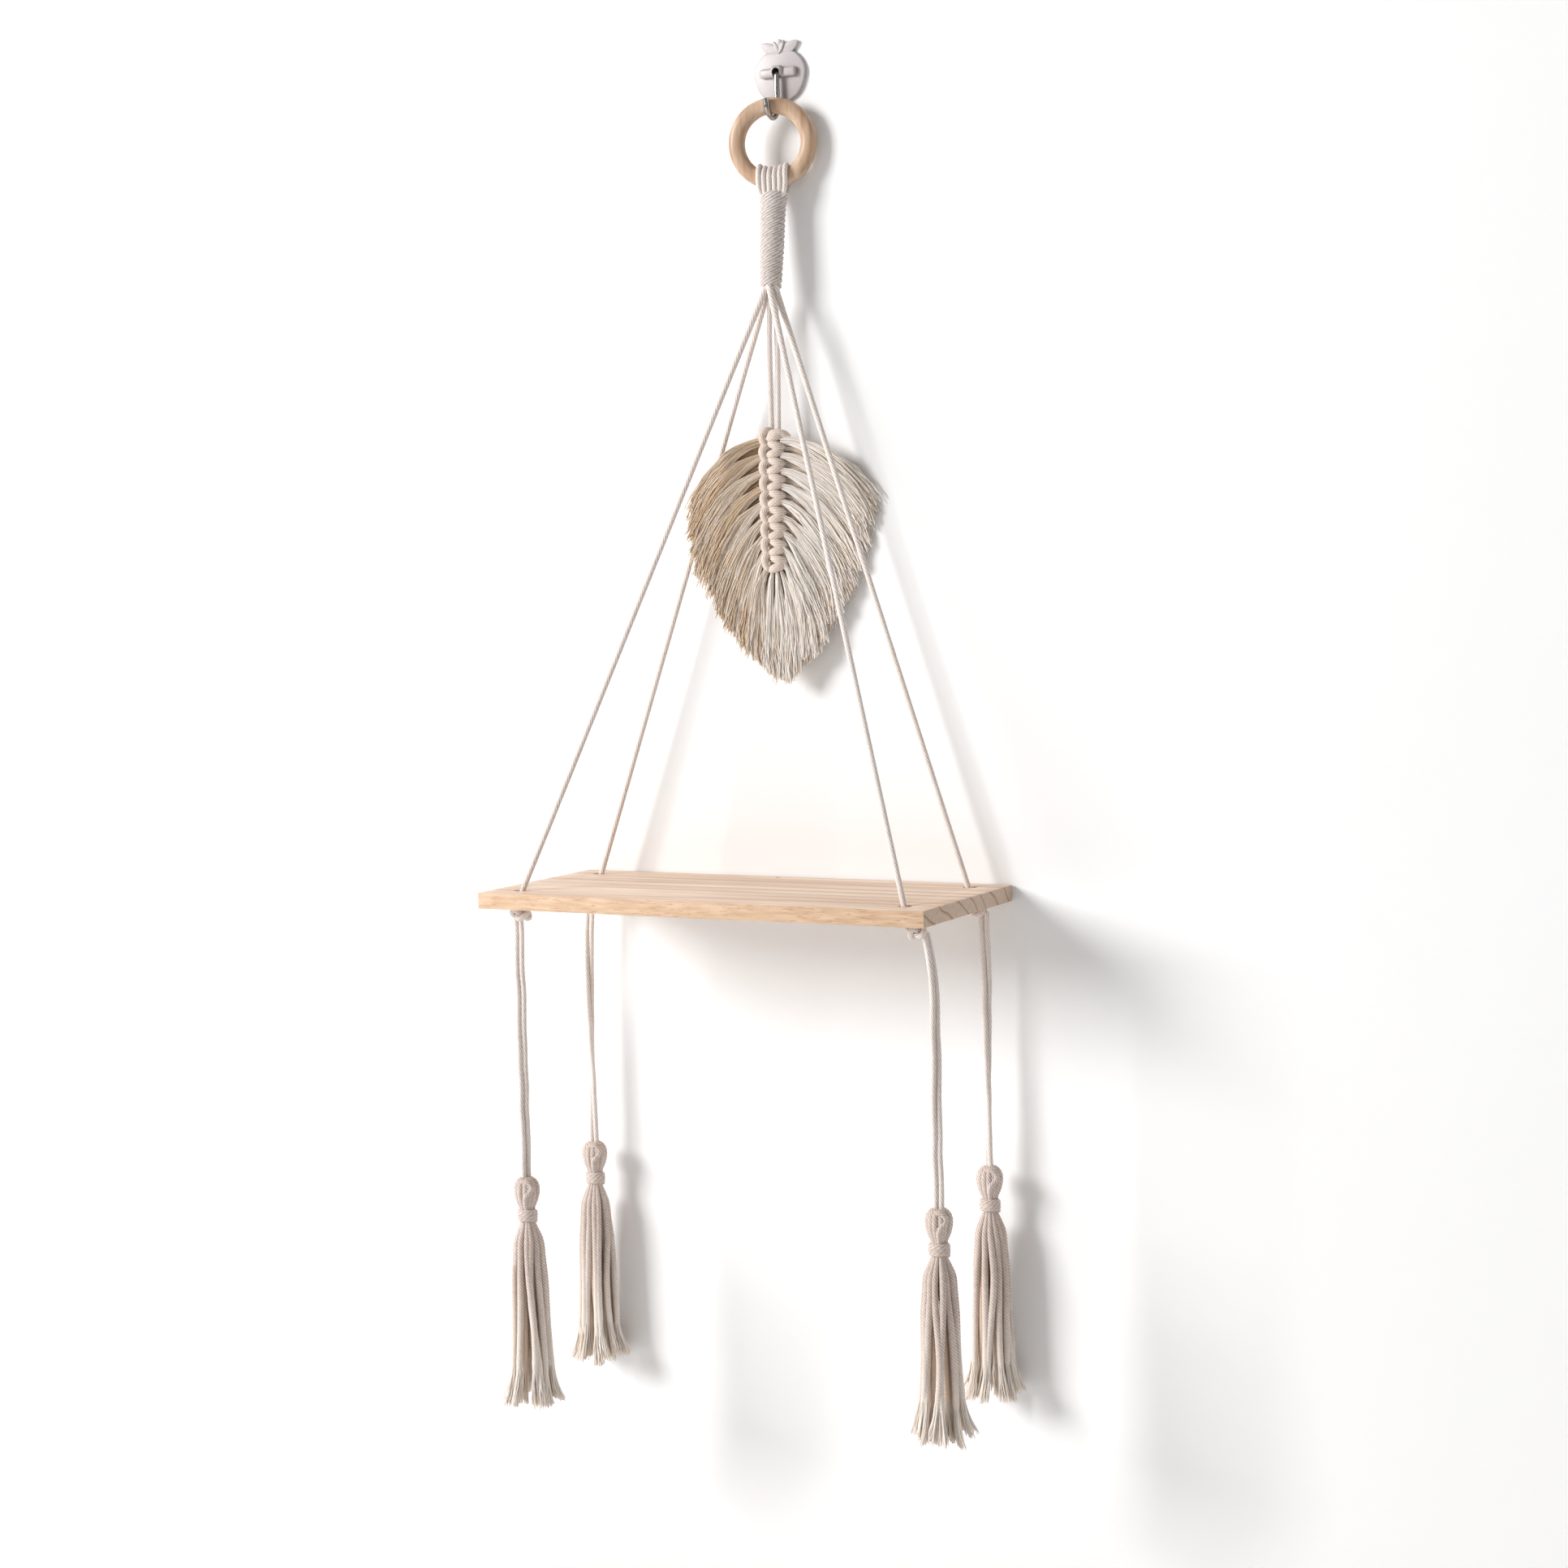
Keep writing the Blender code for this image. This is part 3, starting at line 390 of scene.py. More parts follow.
def start_tree(name, sizes):
    """A Geometry Nodes tree with a geometry input, the named sizes and a geometry output."""
    tree = bpy.data.node_groups.new(name, "GeometryNodeTree")
    tree.is_modifier = True
    tree.interface.new_socket("Geometry", in_out="INPUT", socket_type="NodeSocketGeometry")
    for label, kind, value in sizes:
        socket = tree.interface.new_socket(label, in_out="INPUT", socket_type="NodeSocket" + kind)
        if value is not None:
            socket.default_value = value
    tree.interface.new_socket("Geometry", in_out="OUTPUT", socket_type="NodeSocketGeometry")
    return tree, tree.nodes.new("NodeGroupInput").outputs, tree.nodes.new("NodeGroupOutput")


def store(tree, geometry, name, value, kind="FLOAT", domain="POINT"):
    settings = {"data_type": kind, "domain": domain}
    made = put(tree, "GeometryNodeStoreNamedAttribute", settings, Geometry=geometry, Name=name, Value=value)
    return made.outputs[0]


def named(tree, name, kind="FLOAT"):
    return put(tree, "GeometryNodeInputNamedAttribute", {"data_type": kind}, Name=name).outputs[0]


def scaled(tree, arrow, size):
    return put(tree, "ShaderNodeVectorMath", {"operation": "SCALE"}, n0=arrow, Scale=size).outputs[0]


def circle_section(tree, count, radius):
    return put(tree, "GeometryNodeCurvePrimitiveCircle", Resolution=count, Radius=radius).outputs[0]


def moved_to(tree, geometry, place):
    return put(tree, "GeometryNodeSetPosition", Geometry=geometry, Position=place).outputs[0]


def sweep(tree, lines, section, swell):
    """Sweeps the section along the lines, scaled by swell at each of their points."""
    ends = {"Profile_Curve": section, "Scale": swell, "Fill_Caps": True}
    return put(tree, "GeometryNodeCurveToMesh", Curve=lines, **ends).outputs[0]


def finish_tree(tree, end, geometry, material):
    """Smooth shading, real geometry in place of instances, and the material."""
    smooth = put(tree, "GeometryNodeSetShadeSmooth", Geometry=geometry).outputs[0]
    real = put(tree, "GeometryNodeRealizeInstances", Geometry=smooth).outputs[0]
    painted = put(tree, "GeometryNodeSetMaterial", Geometry=real, Material=material).outputs[0]
    feed(tree, end, n0=painted)
    return tree


def lobed_section(tree, given):
    """A circle with one lobe for each ply, which keeps its own shape as an attribute."""
    count = calc(tree, "MULTIPLY", given["Plies"], POINTS_PER_PLY)
    circle = circle_section(tree, count, given["Radius"])
    index = put(tree, "GeometryNodeInputIndex").outputs[0]
    ply = calc(tree, "MULTIPLY", calc(tree, "DIVIDE", index, POINTS_PER_PLY), math.pi)
    circle = store(tree, circle, "ridge", calc(tree, "ABSOLUTE", calc(tree, "SINE", ply)))
    place = put(tree, "GeometryNodeInputPosition").outputs[0]
    circle = store(tree, circle, "section", place, "FLOAT_VECTOR")
    raised = calc(tree, "MULTIPLY", named(tree, "ridge"), given["Groove"])
    reach = calc(tree, "ADD", raised, calc(tree, "SUBTRACT", 1.0, given["Groove"]))
    return moved_to(tree, circle, scaled(tree, place, reach))


def twisted_cord_tree():
    sizes = (
        ("Radius", "Float", 1.8 * MM),
        ("Plies", "Int", 6),
        ("Groove", "Float", 0.25),
        ("Turn", "Float", 20 * MM),
        ("Step", "Float", 1.6 * MM),
        ("Material", "Material", None),
    )
    tree, given, end = start_tree("twisted_cord", sizes)
    lines = put(tree, "GeometryNodeMeshToCurve", Mesh=given["Geometry"]).outputs[0]
    curved = put(tree, "GeometryNodeCurveSplineType", {"spline_type": "CATMULL_ROM"}, Curve=lines).outputs[0]
    even = put(tree, "GeometryNodeResampleCurve", {"mode": "LENGTH"}, Curve=curved, Length=given["Step"])
    length = put(tree, "GeometryNodeSplineParameter").outputs["Length"]
    tilt = calc(tree, "MULTIPLY", calc(tree, "DIVIDE", length, given["Turn"]), -math.tau)
    twisted = put(tree, "GeometryNodeSetCurveTilt", Curve=even.outputs[0], Tilt=tilt).outputs[0]
    marked = store(tree, twisted, "along", length)
    cord = sweep(tree, marked, lobed_section(tree, given), named(tree, "swell"))
    flat = parts_of(tree, named(tree, "section", "FLOAT_VECTOR"))
    skin = put(tree, "ShaderNodeCombineXYZ", X=flat[0], Y=flat[1], Z=named(tree, "along")).outputs[0]
    cord = store(tree, cord, "skin", skin, "FLOAT_VECTOR")
    return finish_tree(tree, end, cord, given["Material"])


CORD_TREE = twisted_cord_tree()
print("the cord tree has", len(CORD_TREE.nodes), "nodes")

# %% [markdown]
# Two helpers run such a tree. The first writes lines as a mesh of edges, with their values. The
# second sets the modifier's inputs by their identifiers, evaluates the object, and keeps the result
# as a plain mesh, because the rest of the pipeline wants meshes with nothing left to compute.

# %% Lines in, mesh out
def lines_object(name, routes, **values):
    """Each route is a list of places. Each value is a list of lists, one entry for each place."""
    spots = [place for route in routes for place in route]
    edges = []
    first = 0
    for route in routes:
        edges += [(first + i, first + i + 1) for i in range(len(route) - 1)]
        first += len(route)
    mesh = bpy.data.meshes.new(name)
    mesh.from_pydata(spots, edges, [])
    for key, rows in values.items():
        flat = [value for row in rows for value in row]
        if isinstance(flat[0], Vector):
            column = mesh.attributes.new(key, "FLOAT_VECTOR", "POINT").data
            column.foreach_set("vector", [number for arrow in flat for number in arrow])
        else:
            mesh.attributes.new(key, "FLOAT", "POINT").data.foreach_set("value", flat)
    return placed(name, mesh)


def plain_mesh(thing):
    """The evaluated object as a new object with a plain mesh of the same name."""
    bpy.context.view_layer.update()
    graph = bpy.context.evaluated_depsgraph_get()
    mesh = bpy.data.meshes.new_from_object(thing.evaluated_get(graph))
    mesh.transform(thing.matrix_world)
    name = thing.name
    bpy.data.objects.remove(thing, do_unlink=True)
    return placed(name, mesh)


def grow(thing, tree, **sizes):
    """Runs the tree on the lines with these sizes."""
    modifier = thing.modifiers.new("grow", "NODES")
    modifier.node_group = tree
    for item in tree.interface.items_tree:
        if item.in_out == "INPUT" and item.name in sizes:
            modifier[item.identifier] = sizes[item.name]
    return plain_mesh(thing)


def twist_cords(name, routes, swells=None, warmth=None, **sizes):
    """Twisted cords along the routes, as one piece. warmth holds one share for each route."""
    swells = swells or [[1.0] * len(route) for route in routes]
    warmth = warmth or [0.0] * len(routes)
    warm = [[share] * len(route) for share, route in zip(warmth, routes)]
    sizes.setdefault("Material", cord_cotton)
    return grow(lines_object(name, routes, swell=swells, warm=warm), CORD_TREE, **sizes)


def dress(piece, slot, *nodes):
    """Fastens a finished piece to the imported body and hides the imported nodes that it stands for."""
    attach(piece, "root")
    if nodes:
        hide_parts(*nodes)
    piece.data.calc_loop_triangles()
    print(piece.name, "has", len(piece.data.loop_triangles), "triangles")


print("a cord is now one call")

# %% [markdown]
# The board is a piece of planed pine with a hole near each corner. A box with rounded edges and
# four drilled holes is enough of a shape: the box and the drills are primitives, a Boolean cuts, and
# a Bevel after it eases the box's edges and the holes' rims alike.

# %% Board
HOLE_IN_X = 20 * MM
HOLE_IN_Y = 18 * MM
HOLE_R = 4.0 * MM
DRILL_LENGTH = 40 * MM
BOARD_EDGE = 0.8 * MM
board_low, board_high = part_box("board")
board_middle = (board_low + board_high) / 2
board_size = board_high - board_low
hole_places = {}
for depth_name, y in (("front", board_low.y + HOLE_IN_Y), ("back", board_high.y - HOLE_IN_Y)):
    for side_name, x in (("left", board_low.x + HOLE_IN_X), ("right", board_high.x - HOLE_IN_X)):
        hole_places[f"{depth_name}_{side_name}"] = Vector((x, y, board_high.z))


def combine(body, others, operation):
    """Applies a Boolean of each other shape to body, and removes the others."""
    for other in others:
        step = body.modifiers.new("step", "BOOLEAN")
        step.operation = operation
        step.solver = "EXACT"
        step.object = other
    made = plain_mesh(body)
    for other in others:
        bpy.data.objects.remove(other, do_unlink=True)
    return made


def eased(thing, width, segments):
    """The shape with its sharp edges rounded."""
    edge = thing.modifiers.new("edge", "BEVEL")
    edge.width = width
    edge.segments = segments
    edge.limit_method = "ANGLE"
    return plain_mesh(thing)


def shaded(thing, sharp):
    """Smooth shading, but for edges that turn by more than so many degrees."""
    thing.data.shade_smooth()
    thing.data.set_sharp_from_angle(angle=math.radians(sharp))
    return thing


def coat(thing, material):
    thing.data.materials.clear()
    thing.data.materials.append(material)


def drill_at(place):
    bm = bmesh.new()
    bmesh.ops.create_cone(bm, cap_ends=True, segments=40, radius1=HOLE_R, radius2=HOLE_R, depth=DRILL_LENGTH)
    bmesh.ops.translate(bm, vec=place, verts=bm.verts)
    return mesh_of(bm, "drill")


def board_piece():
    bm = bmesh.new()
    bmesh.ops.create_cube(bm, size=1.0)
    whole = Matrix.Translation(board_middle) @ Matrix.Diagonal((*board_size, 1.0))
    bmesh.ops.transform(bm, matrix=whole, verts=bm.verts)
    drills = [drill_at(place) for place in hole_places.values()]
    return shaded(eased(combine(mesh_of(bm, "pine_board"), drills, "DIFFERENCE"), BOARD_EDGE, 3), 35)


board = board_piece()
print("the board is", [round(side / MM) for side in board_size], "mm with", len(hole_places), "holes")

# %% [markdown]
# The work is in the wood. Growth rings are long cylinders that run with the board, so a ring pattern
# built from the distance to an axis far below the board gives lengthwise bands on top and slanting
# lines on the end, with no special case for either. Noises drawn out along the board add streaks and
# fine lines on top, and short dashes on the front edge.

# %% Pine
RING_AXIS = Vector((0.0, -0.100, -0.128))
RING_WIDTH = 11 * MM
RING_DRIFT = 16 * MM
# the share of dark late wood across one growth ring
LATE_WOOD = ((0.0, 0.15), (0.12, 0.0), (0.72, 0.18), (0.93, 1.0), (1.0, 0.35))
# how far each noise is drawn out along the board, its scale and its detail
DRIFT = (0.16, 22.0, 2.0)
FINE_LINES = (0.03, 900.0, 4.0)
MOTTLE = (0.13, 420.0, 3.0)
STREAKS = (0.045, 95.0, 3.0)
DASHES = (0.16, 1100.0, 3.0)
PINE_PALE = (0.94, 0.775, 0.635, 1.0)
PINE_STREAK = (0.70, 0.49, 0.345, 1.0)
PINE_BAND = (0.64, 0.44, 0.31, 1.0)
PINE_LINE = (0.66, 0.455, 0.33, 1.0)
PINE_KNOT = (0.33, 0.17, 0.09, 1.0)
FRONT_DARK = (0.60, 0.395, 0.25, 1.0)
FRONT_LIGHT = (0.73, 0.53, 0.365, 1.0)
FRONT_DASH = (0.50, 0.30, 0.18, 1.0)
END_PALE = (0.62, 0.47, 0.36, 1.0)
END_LINE = (0.30, 0.19, 0.125, 1.0)
FACING = 0.7
KNOT_PLACE = Vector((-0.007, 0.0595, 0.0))
KNOT_CORE = 1.0 * MM
KNOT_RIM = 2.2 * MM


def drawn_out(tree, place, share, scale, detail):
    """Noise drawn out along the board."""
    return noise(tree, mapped(tree, place, Scale=(share, 1.0, 1.0)), scale, detail)


def late_wood(tree, place):
    """How dark the growth rings are here."""
    centred = parts_of(tree, mapped(tree, place, Location=tuple(-(board_middle + RING_AXIS))))
    squares = [calc(tree, "POWER", centred[axis], 2.0) for axis in (1, 2)]
    reach = calc(tree, "SQRT", calc(tree, "ADD", *squares))
    bent = calc(tree, "ADD", reach, calc(tree, "MULTIPLY", drawn_out(tree, place, *DRIFT), RING_DRIFT))
    rings = calc(tree, "FRACT", calc(tree, "DIVIDE", bent, RING_WIDTH))
    late = put(tree, "ShaderNodeValToRGB", n0=rings)
    stops = late.color_ramp.elements
    for spot, grey in LATE_WOOD[1:-1]:
        stops.new(spot)
    for stop, (spot, grey) in zip(stops, LATE_WOOD):
        stop.color = (grey, grey, grey, 1.0)
    return late.outputs["Color"]


def pine_material():
    made, tree, shader = surface("pine_wood", Specular_IOR_Level=0.3)
    place = object_place(tree)
    late = late_wood(tree, place)
    fine = drawn_out(tree, place, *FINE_LINES)
    mottle = between(tree, drawn_out(tree, place, *MOTTLE), 0.35, 0.65)
    top = blend(tree, between(tree, drawn_out(tree, place, *STREAKS), 0.38, 0.64), PINE_PALE, PINE_STREAK)
    top = blend(tree, calc(tree, "MULTIPLY", late, 0.6), top, PINE_BAND)
    top = blend(tree, between(tree, fine, 0.42, 0.68, end=0.6), top, PINE_LINE)
    dashes = between(tree, drawn_out(tree, place, *DASHES), 0.56, 0.68, end=0.75)
    front = blend(tree, dashes, blend(tree, mottle, FRONT_DARK, FRONT_LIGHT), FRONT_DASH)
    end = blend(tree, between(tree, late, 0.45, 1.0, end=0.9), END_PALE, END_LINE)
    end = blend(tree, calc(tree, "MULTIPLY", mottle, 0.25), end, END_LINE)
    normal = parts_of(tree, put(tree, "ShaderNodeNewGeometry").outputs["Normal"])
    colour = top
    for axis, other in ((1, front), (0, end)):
        faces = calc(tree, "GREATER_THAN", calc(tree, "ABSOLUTE", normal[axis]), FACING)
        colour = blend(tree, faces, colour, other)
    knot_middle = tuple(board_middle + KNOT_PLACE + Vector((0, 0, board_size.z / 2)))
    away = put(tree, "ShaderNodeVectorMath", {"operation": "DISTANCE"}, n0=place, n1=knot_middle)
    knot = between(tree, away.outputs["Value"], KNOT_CORE, KNOT_RIM, 1.0, 0.0)
    colour = blend(tree, knot, colour, PINE_KNOT)
    rough = calc(tree, "MULTIPLY_ADD", late, 0.1, 0.52)
    feed(tree, shader, Base_Color=colour, Roughness=rough, Normal=bumped(tree, fine, 0.35, 0.12 * MM))
    return made


coat(board, pine_material())
dress(board, "pine", "board")

# %% [markdown]
# The ring is turned from one piece of beech and sanded smooth. Its shape is a section carried round
# an axis, and the section is a circle pressed slightly towards a square, which leaves the faint
# flats that a turner's tool leaves. The grain of the plank it was cut from runs straight across it,
# so the pattern is a noise stretched along one slanting direction, and not one that follows the ring
# round.

# %% Wooden ring
RING_R = 22.5 * MM
RING_TUBE = 5.0 * MM
RING_PLACE = Vector((0.0, -13.0 * MM, -42.6 * MM))
RING_TURN = math.radians(16)
RING_SQUARE = 2.35
RING_AROUND = 144
RING_SECTION = 40
BEECH_DARK = (0.44, 0.27, 0.165, 1.0)
BEECH_LIGHT = (0.80, 0.61, 0.45, 1.0)
BEECH_SPECK = (0.40, 0.24, 0.14, 1.0)
PLANK_TURN = (0.0, math.radians(24), 0.3)
ring_frame = Matrix.Translation(RING_PLACE) @ Matrix.Rotation(RING_TURN, 4, "Z")


def turned_ring():
    """A ring lathed round its axis. Its section is a circle pressed a little towards a square."""
    bm = bmesh.new()
    rows = []
    for i in range(RING_AROUND):
        spin = Matrix.Rotation(math.tau * i / RING_AROUND, 4, "Y")
        row = []
        for k in range(RING_SECTION):
            b = math.tau * k / RING_SECTION
            c, d = math.cos(b), math.sin(b)
            reach = RING_TUBE / (abs(c) ** RING_SQUARE + abs(d) ** RING_SQUARE) ** (1 / RING_SQUARE)
            row.append(bm.verts.new(ring_frame @ spin @ Vector((RING_R + reach * c, reach * d, 0.0))))
        rows.append(row)
    for row, after in zip(rows, rows[1:] + rows[:1]):
        for k in range(RING_SECTION):
            n = (k + 1) % RING_SECTION
            bm.faces.new((row[k], row[n], after[n], after[k]))
    bmesh.ops.recalc_face_normals(bm, faces=bm.faces)
    made = mesh_of(bm, "beech_ring")
    made.data.shade_smooth()
    return made


def beech_material():
    made, tree, shader = surface("beech_wood", Roughness=0.4, Specular_IOR_Level=0.5)
    place = object_place(tree)
    plank = mapped(tree, place, Rotation=PLANK_TURN, Scale=(1.0, 1.0, 0.07))
    rays = mapped(tree, place, Rotation=PLANK_TURN, Scale=(1.0, 1.0, 0.25))
    grain = noise(tree, plank, 420.0, 4.0)
    fine = between(tree, grain, 0.35, 0.65, end=0.35)
    wide = between(tree, noise(tree, plank, 90.0, 2.0), 0.38, 0.62, end=0.6)
    colour = blend(tree, calc(tree, "ADD", fine, wide), BEECH_DARK, BEECH_LIGHT)
    specks = between(tree, noise(tree, rays, 1500.0, 2.0), 0.64, 0.72, end=0.35)
    colour = blend(tree, specks, colour, BEECH_SPECK)
    feed(tree, shader, Base_Color=colour, Normal=bumped(tree, grain, 0.15, 0.05 * MM))
    return made


ring = turned_ring()
coat(ring, beech_material())
dress(ring, "beech", "wood_ring")

# %% [markdown]
# The wall hook is a thin moulded plate in the outline of a round fruit, with a crown of leaves. A
# raised saddle with a domed boss holds the wire. Flat curves with a small bevel give the plate and
# its leaves the soft edge that moulded plastic has, and the slot for the wire is cut with a Boolean.

# %% Hook plate
PLATE_T = 2.0 * MM
PLATE_ROUND = 0.95 * MM
PLATE_HALF_W = 17.6 * MM
PLATE_TOP = 13.9 * MM
PLATE_BOTTOM = -17.5 * MM
# the right half of the outline, from the top down
PLATE_HALF = (
    (0.0, PLATE_TOP),
    (PLATE_HALF_W * 0.62, PLATE_TOP * 0.93),
    (PLATE_HALF_W, PLATE_TOP * 0.15),
    (PLATE_HALF_W * 0.72, PLATE_BOTTOM * 0.66),
    (0.0, PLATE_BOTTOM),
)
PLATE_STEPS = 10
# the tilt of each leaf of the crown in degrees, its length, half width, gap to the wall and thickness
CROWN = (
    (-62, 14.5 * MM, 3.3 * MM, 0.15 * MM, 1.7 * MM),
    (0, 9.0 * MM, 2.6 * MM, 0.25 * MM, 2.0 * MM),
    (-24, 8.6 * MM, 1.3 * MM, 0.3 * MM, 2.3 * MM),
    (24, 8.6 * MM, 1.3 * MM, 0.35 * MM, 2.35 * MM),
    (62, 14.5 * MM, 3.3 * MM, 0.2 * MM, 1.6 * MM),
)
CROWN_ROUND = 0.5 * MM
CROWN_ROOT = Vector((0.0, 0.0, PLATE_TOP - 1.2 * MM))
CROWN_POINTS = 28


def smooth_route(points, steps):
    """Points of a smooth curve through the given ones, with so many steps on each stretch."""
    ends = [points[0] * 2 - points[1], *points, points[-1] * 2 - points[-2]]
    route = []
    for before, a, b, after in zip(ends, ends[1:], ends[2:], ends[3:]):
        for step in range(steps):
            t = step / steps
            bend = 2 * before - 5 * a + 4 * b - after
            turn = 3 * a - before - 3 * b + after
            route.append(0.5 * (2 * a + (b - before) * t + bend * t * t + turn * t * t * t))
    route.append(points[-1].copy())
    return route


def curve_object(name, spots, cyclic, **settings):
    """A curve with straight stretches through the spots."""
    data = bpy.data.curves.new(name, "CURVE")
    for key, value in settings.items():
        setattr(data, key, value)
    line = data.splines.new("POLY")
    line.points.add(len(spots) - 1)
    for point, spot in zip(line.points, spots):
        point.co = (*spot, 1.0)
    line.use_cyclic_u = cyclic
    return placed(name, data)


def closed_mesh(thing, near):
    """The evaluated object, with doubled points merged and its faces turned outwards."""
    made = plain_mesh(thing)
    bm = bmesh.new()
    bm.from_mesh(made.data)
    bmesh.ops.remove_doubles(bm, verts=bm.verts, dist=near)
    bmesh.ops.recalc_face_normals(bm, faces=bm.faces)
    bm.to_mesh(made.data)
    bm.free()
    return made


def flat_moulding(name, around, back, thickness, rounding):
    """A flat outline in X and Z, set off the wall by back, with rounded edges."""
    made = curve_object(
        name,
        [(point.x, point.z, 0.0) for point in around],
        True,
        dimensions="2D",
        fill_mode="BOTH",
        extrude=thickness / 2 - rounding,
        bevel_depth=rounding,
        bevel_resolution=3,
        offset=-rounding,
    )
    made.rotation_euler = (math.pi / 2, 0.0, 0.0)
    made.location = (0.0, -back - thickness / 2, 0.0)
    return closed_mesh(made, 0.01 * MM)


def plate_shell():
    """The plate's flat body."""
    half = [Vector((x, 0.0, z)) for x, z in PLATE_HALF]
    whole = half + [Vector((-p.x, 0.0, p.z)) for p in reversed(half[1:-1])]
    route = smooth_route([whole[-1], *whole, whole[0], whole[1]], PLATE_STEPS)
    around = route[PLATE_STEPS : PLATE_STEPS + PLATE_STEPS * len(whole)]
    return flat_moulding("hook_plate_shell", around, 0.0, PLATE_T, PLATE_ROUND)


def crown_leaf(tilt, length, width, back, thick):
    """One leaf of the crown: an oval with pointed ends, tilted about the crown's root."""
    spin = Matrix.Rotation(math.radians(tilt), 4, "Y")
    spots = []
    for i in range(CROWN_POINTS):
        a = math.tau * (i + 0.5) / CROWN_POINTS
        x = width * math.cos(a) ** 3 * 0.35 + width * math.cos(a) * 0.65
        spot = Vector((x, 0.0, length / 2 * math.sin(a))) + Vector((0.0, 0.0, length / 2))
        spots.append(CROWN_ROOT + spin @ spot)
    return flat_moulding(f"crown_{tilt}", spots, back, thick, CROWN_ROUND)


plate = plate_shell()
crown = [crown_leaf(*leaf) for leaf in CROWN]
print("the plate has", len(crown), "leaves in its crown")

# %% [markdown]
# The saddle and the boss are boxes with wide bevels. The slot is a round eye with a channel below it, which
# the wire drops through. Its inside lies in deep shade, so the moulding's material paints that shade as a
# dark colour within the eye's radius, but only in front, where the slot is.

# %% Saddle, boss and slot
SADDLE_Z = 1.2 * MM
SADDLE = (24.5 * MM, 3.6 * MM, 5.8 * MM)
SADDLE_SUNK = 0.2 * MM
SADDLE_ROUND = 1.6 * MM
BOSS = (8.0 * MM, 6.2 * MM, 7.0 * MM)
BOSS_Z = SADDLE_Z + 0.7 * MM
BOSS_SUNK = 0.5 * MM
BOSS_ROUND = 2.4 * MM
SLOT_HALF = 2.45 * MM
SLOT_DEPTH = 12 * MM
SLOT_DROP = 8 * MM
SLOT_FLOOR = 0.2 * MM
SLOT_EDGE = 0.05 * MM
MOULDING = (0.50, 0.455, 0.45, 1.0)
# the painted shade inside the slot's eye
SLOT_PAINTED_SHADE = (0.07, 0.05, 0.045, 1.0)


def rounded_box(name, size, place, rounding, segments=5):
    bpy.ops.mesh.primitive_cube_add(size=1.0)
    made = bpy.context.object
    made.name = name
    made.data.transform(Matrix.Translation(place) @ Matrix.Diagonal((*size, 1.0)))
    return eased(made, rounding, segments)


def add_fittings(shell, leaves):
    """The plate with its crown, saddle and boss, and the slot cut through them."""
    front = -PLATE_T
    saddle_place = Vector((0.0, front - SADDLE[1] / 2 + SADDLE_SUNK, SADDLE_Z))
    boss_place = Vector((0.0, front - BOSS[1] / 2 + BOSS_SUNK, BOSS_Z))
    saddle = rounded_box("saddle", SADDLE, saddle_place, SADDLE_ROUND)
    boss = rounded_box("boss", BOSS, boss_place, BOSS_ROUND)
    body = combine(shell, [*leaves, saddle, boss], "UNION")
    slot_y = front - SLOT_FLOOR - SLOT_DEPTH / 2
    bpy.ops.mesh.primitive_cylinder_add(
        vertices=40,
        radius=SLOT_HALF,
        depth=SLOT_DEPTH,
        location=(0.0, slot_y, SADDLE_Z),
        rotation=(math.pi / 2, 0.0, 0.0),
    )
    eye = bpy.context.object
    channel_place = Vector((0.0, slot_y, SADDLE_Z - SLOT_DROP / 2))
    channel = rounded_box("slot", (2 * SLOT_HALF, SLOT_DEPTH, SLOT_DROP), channel_place, SLOT_EDGE, 1)
    return shaded(combine(body, [eye, channel], "DIFFERENCE"), 40)


def plastic_material():
    made, tree, shader = surface(
        "white_moulding",
        Subsurface_Weight=0.15,
        Subsurface_Radius=(2.0 * MM, 1.6 * MM, 1.4 * MM),
    )
    place = object_place(tree)
    flat = mapped(tree, place, Location=(0.0, 0.0, -SADDLE_Z), Scale=(1.0, 0.0, 1.0))
    away = put(tree, "ShaderNodeVectorMath", {"operation": "LENGTH"}, n0=flat).outputs["Value"]
    outside = between(tree, away, SLOT_HALF, SLOT_HALF + 0.12 * MM)
    behind = calc(tree, "GREATER_THAN", parts_of(tree, place)[1], -0.9 * PLATE_T)
    # painted shade: the slot's eye turns dark in front of the plate
    colour = blend(tree, calc(tree, "MAXIMUM", outside, behind), SLOT_PAINTED_SHADE, MOULDING)
    rough = calc(tree, "MULTIPLY_ADD", noise(tree, place, 60.0, 1.0), 0.12, 0.28)
    bump = bumped(tree, noise(tree, place, 900.0, 2.0), 0.06, 0.05 * MM)
    feed(tree, shader, Base_Color=colour, Roughness=rough, Normal=bump)
    return made


plate = add_fittings(plate, crown)
coat(plate, plastic_material())
dress(plate, "white_plastic", "hook_plate")

# %% [markdown]
# The wire comes out of the boss, turns down behind the ring and bends up in front of it. A curve
# with a round bevel is the natural tool for bent wire. Plated steel is a mirror with faint draw
# marks, so its roughness varies a little.

# %% Hook wire
WIRE_R = 1.7 * MM
WIRE_GAP = 0.3 * MM
WIRE_BEND = 2.6 * MM
STEEL = (0.40, 0.375, 0.355, 1.0)


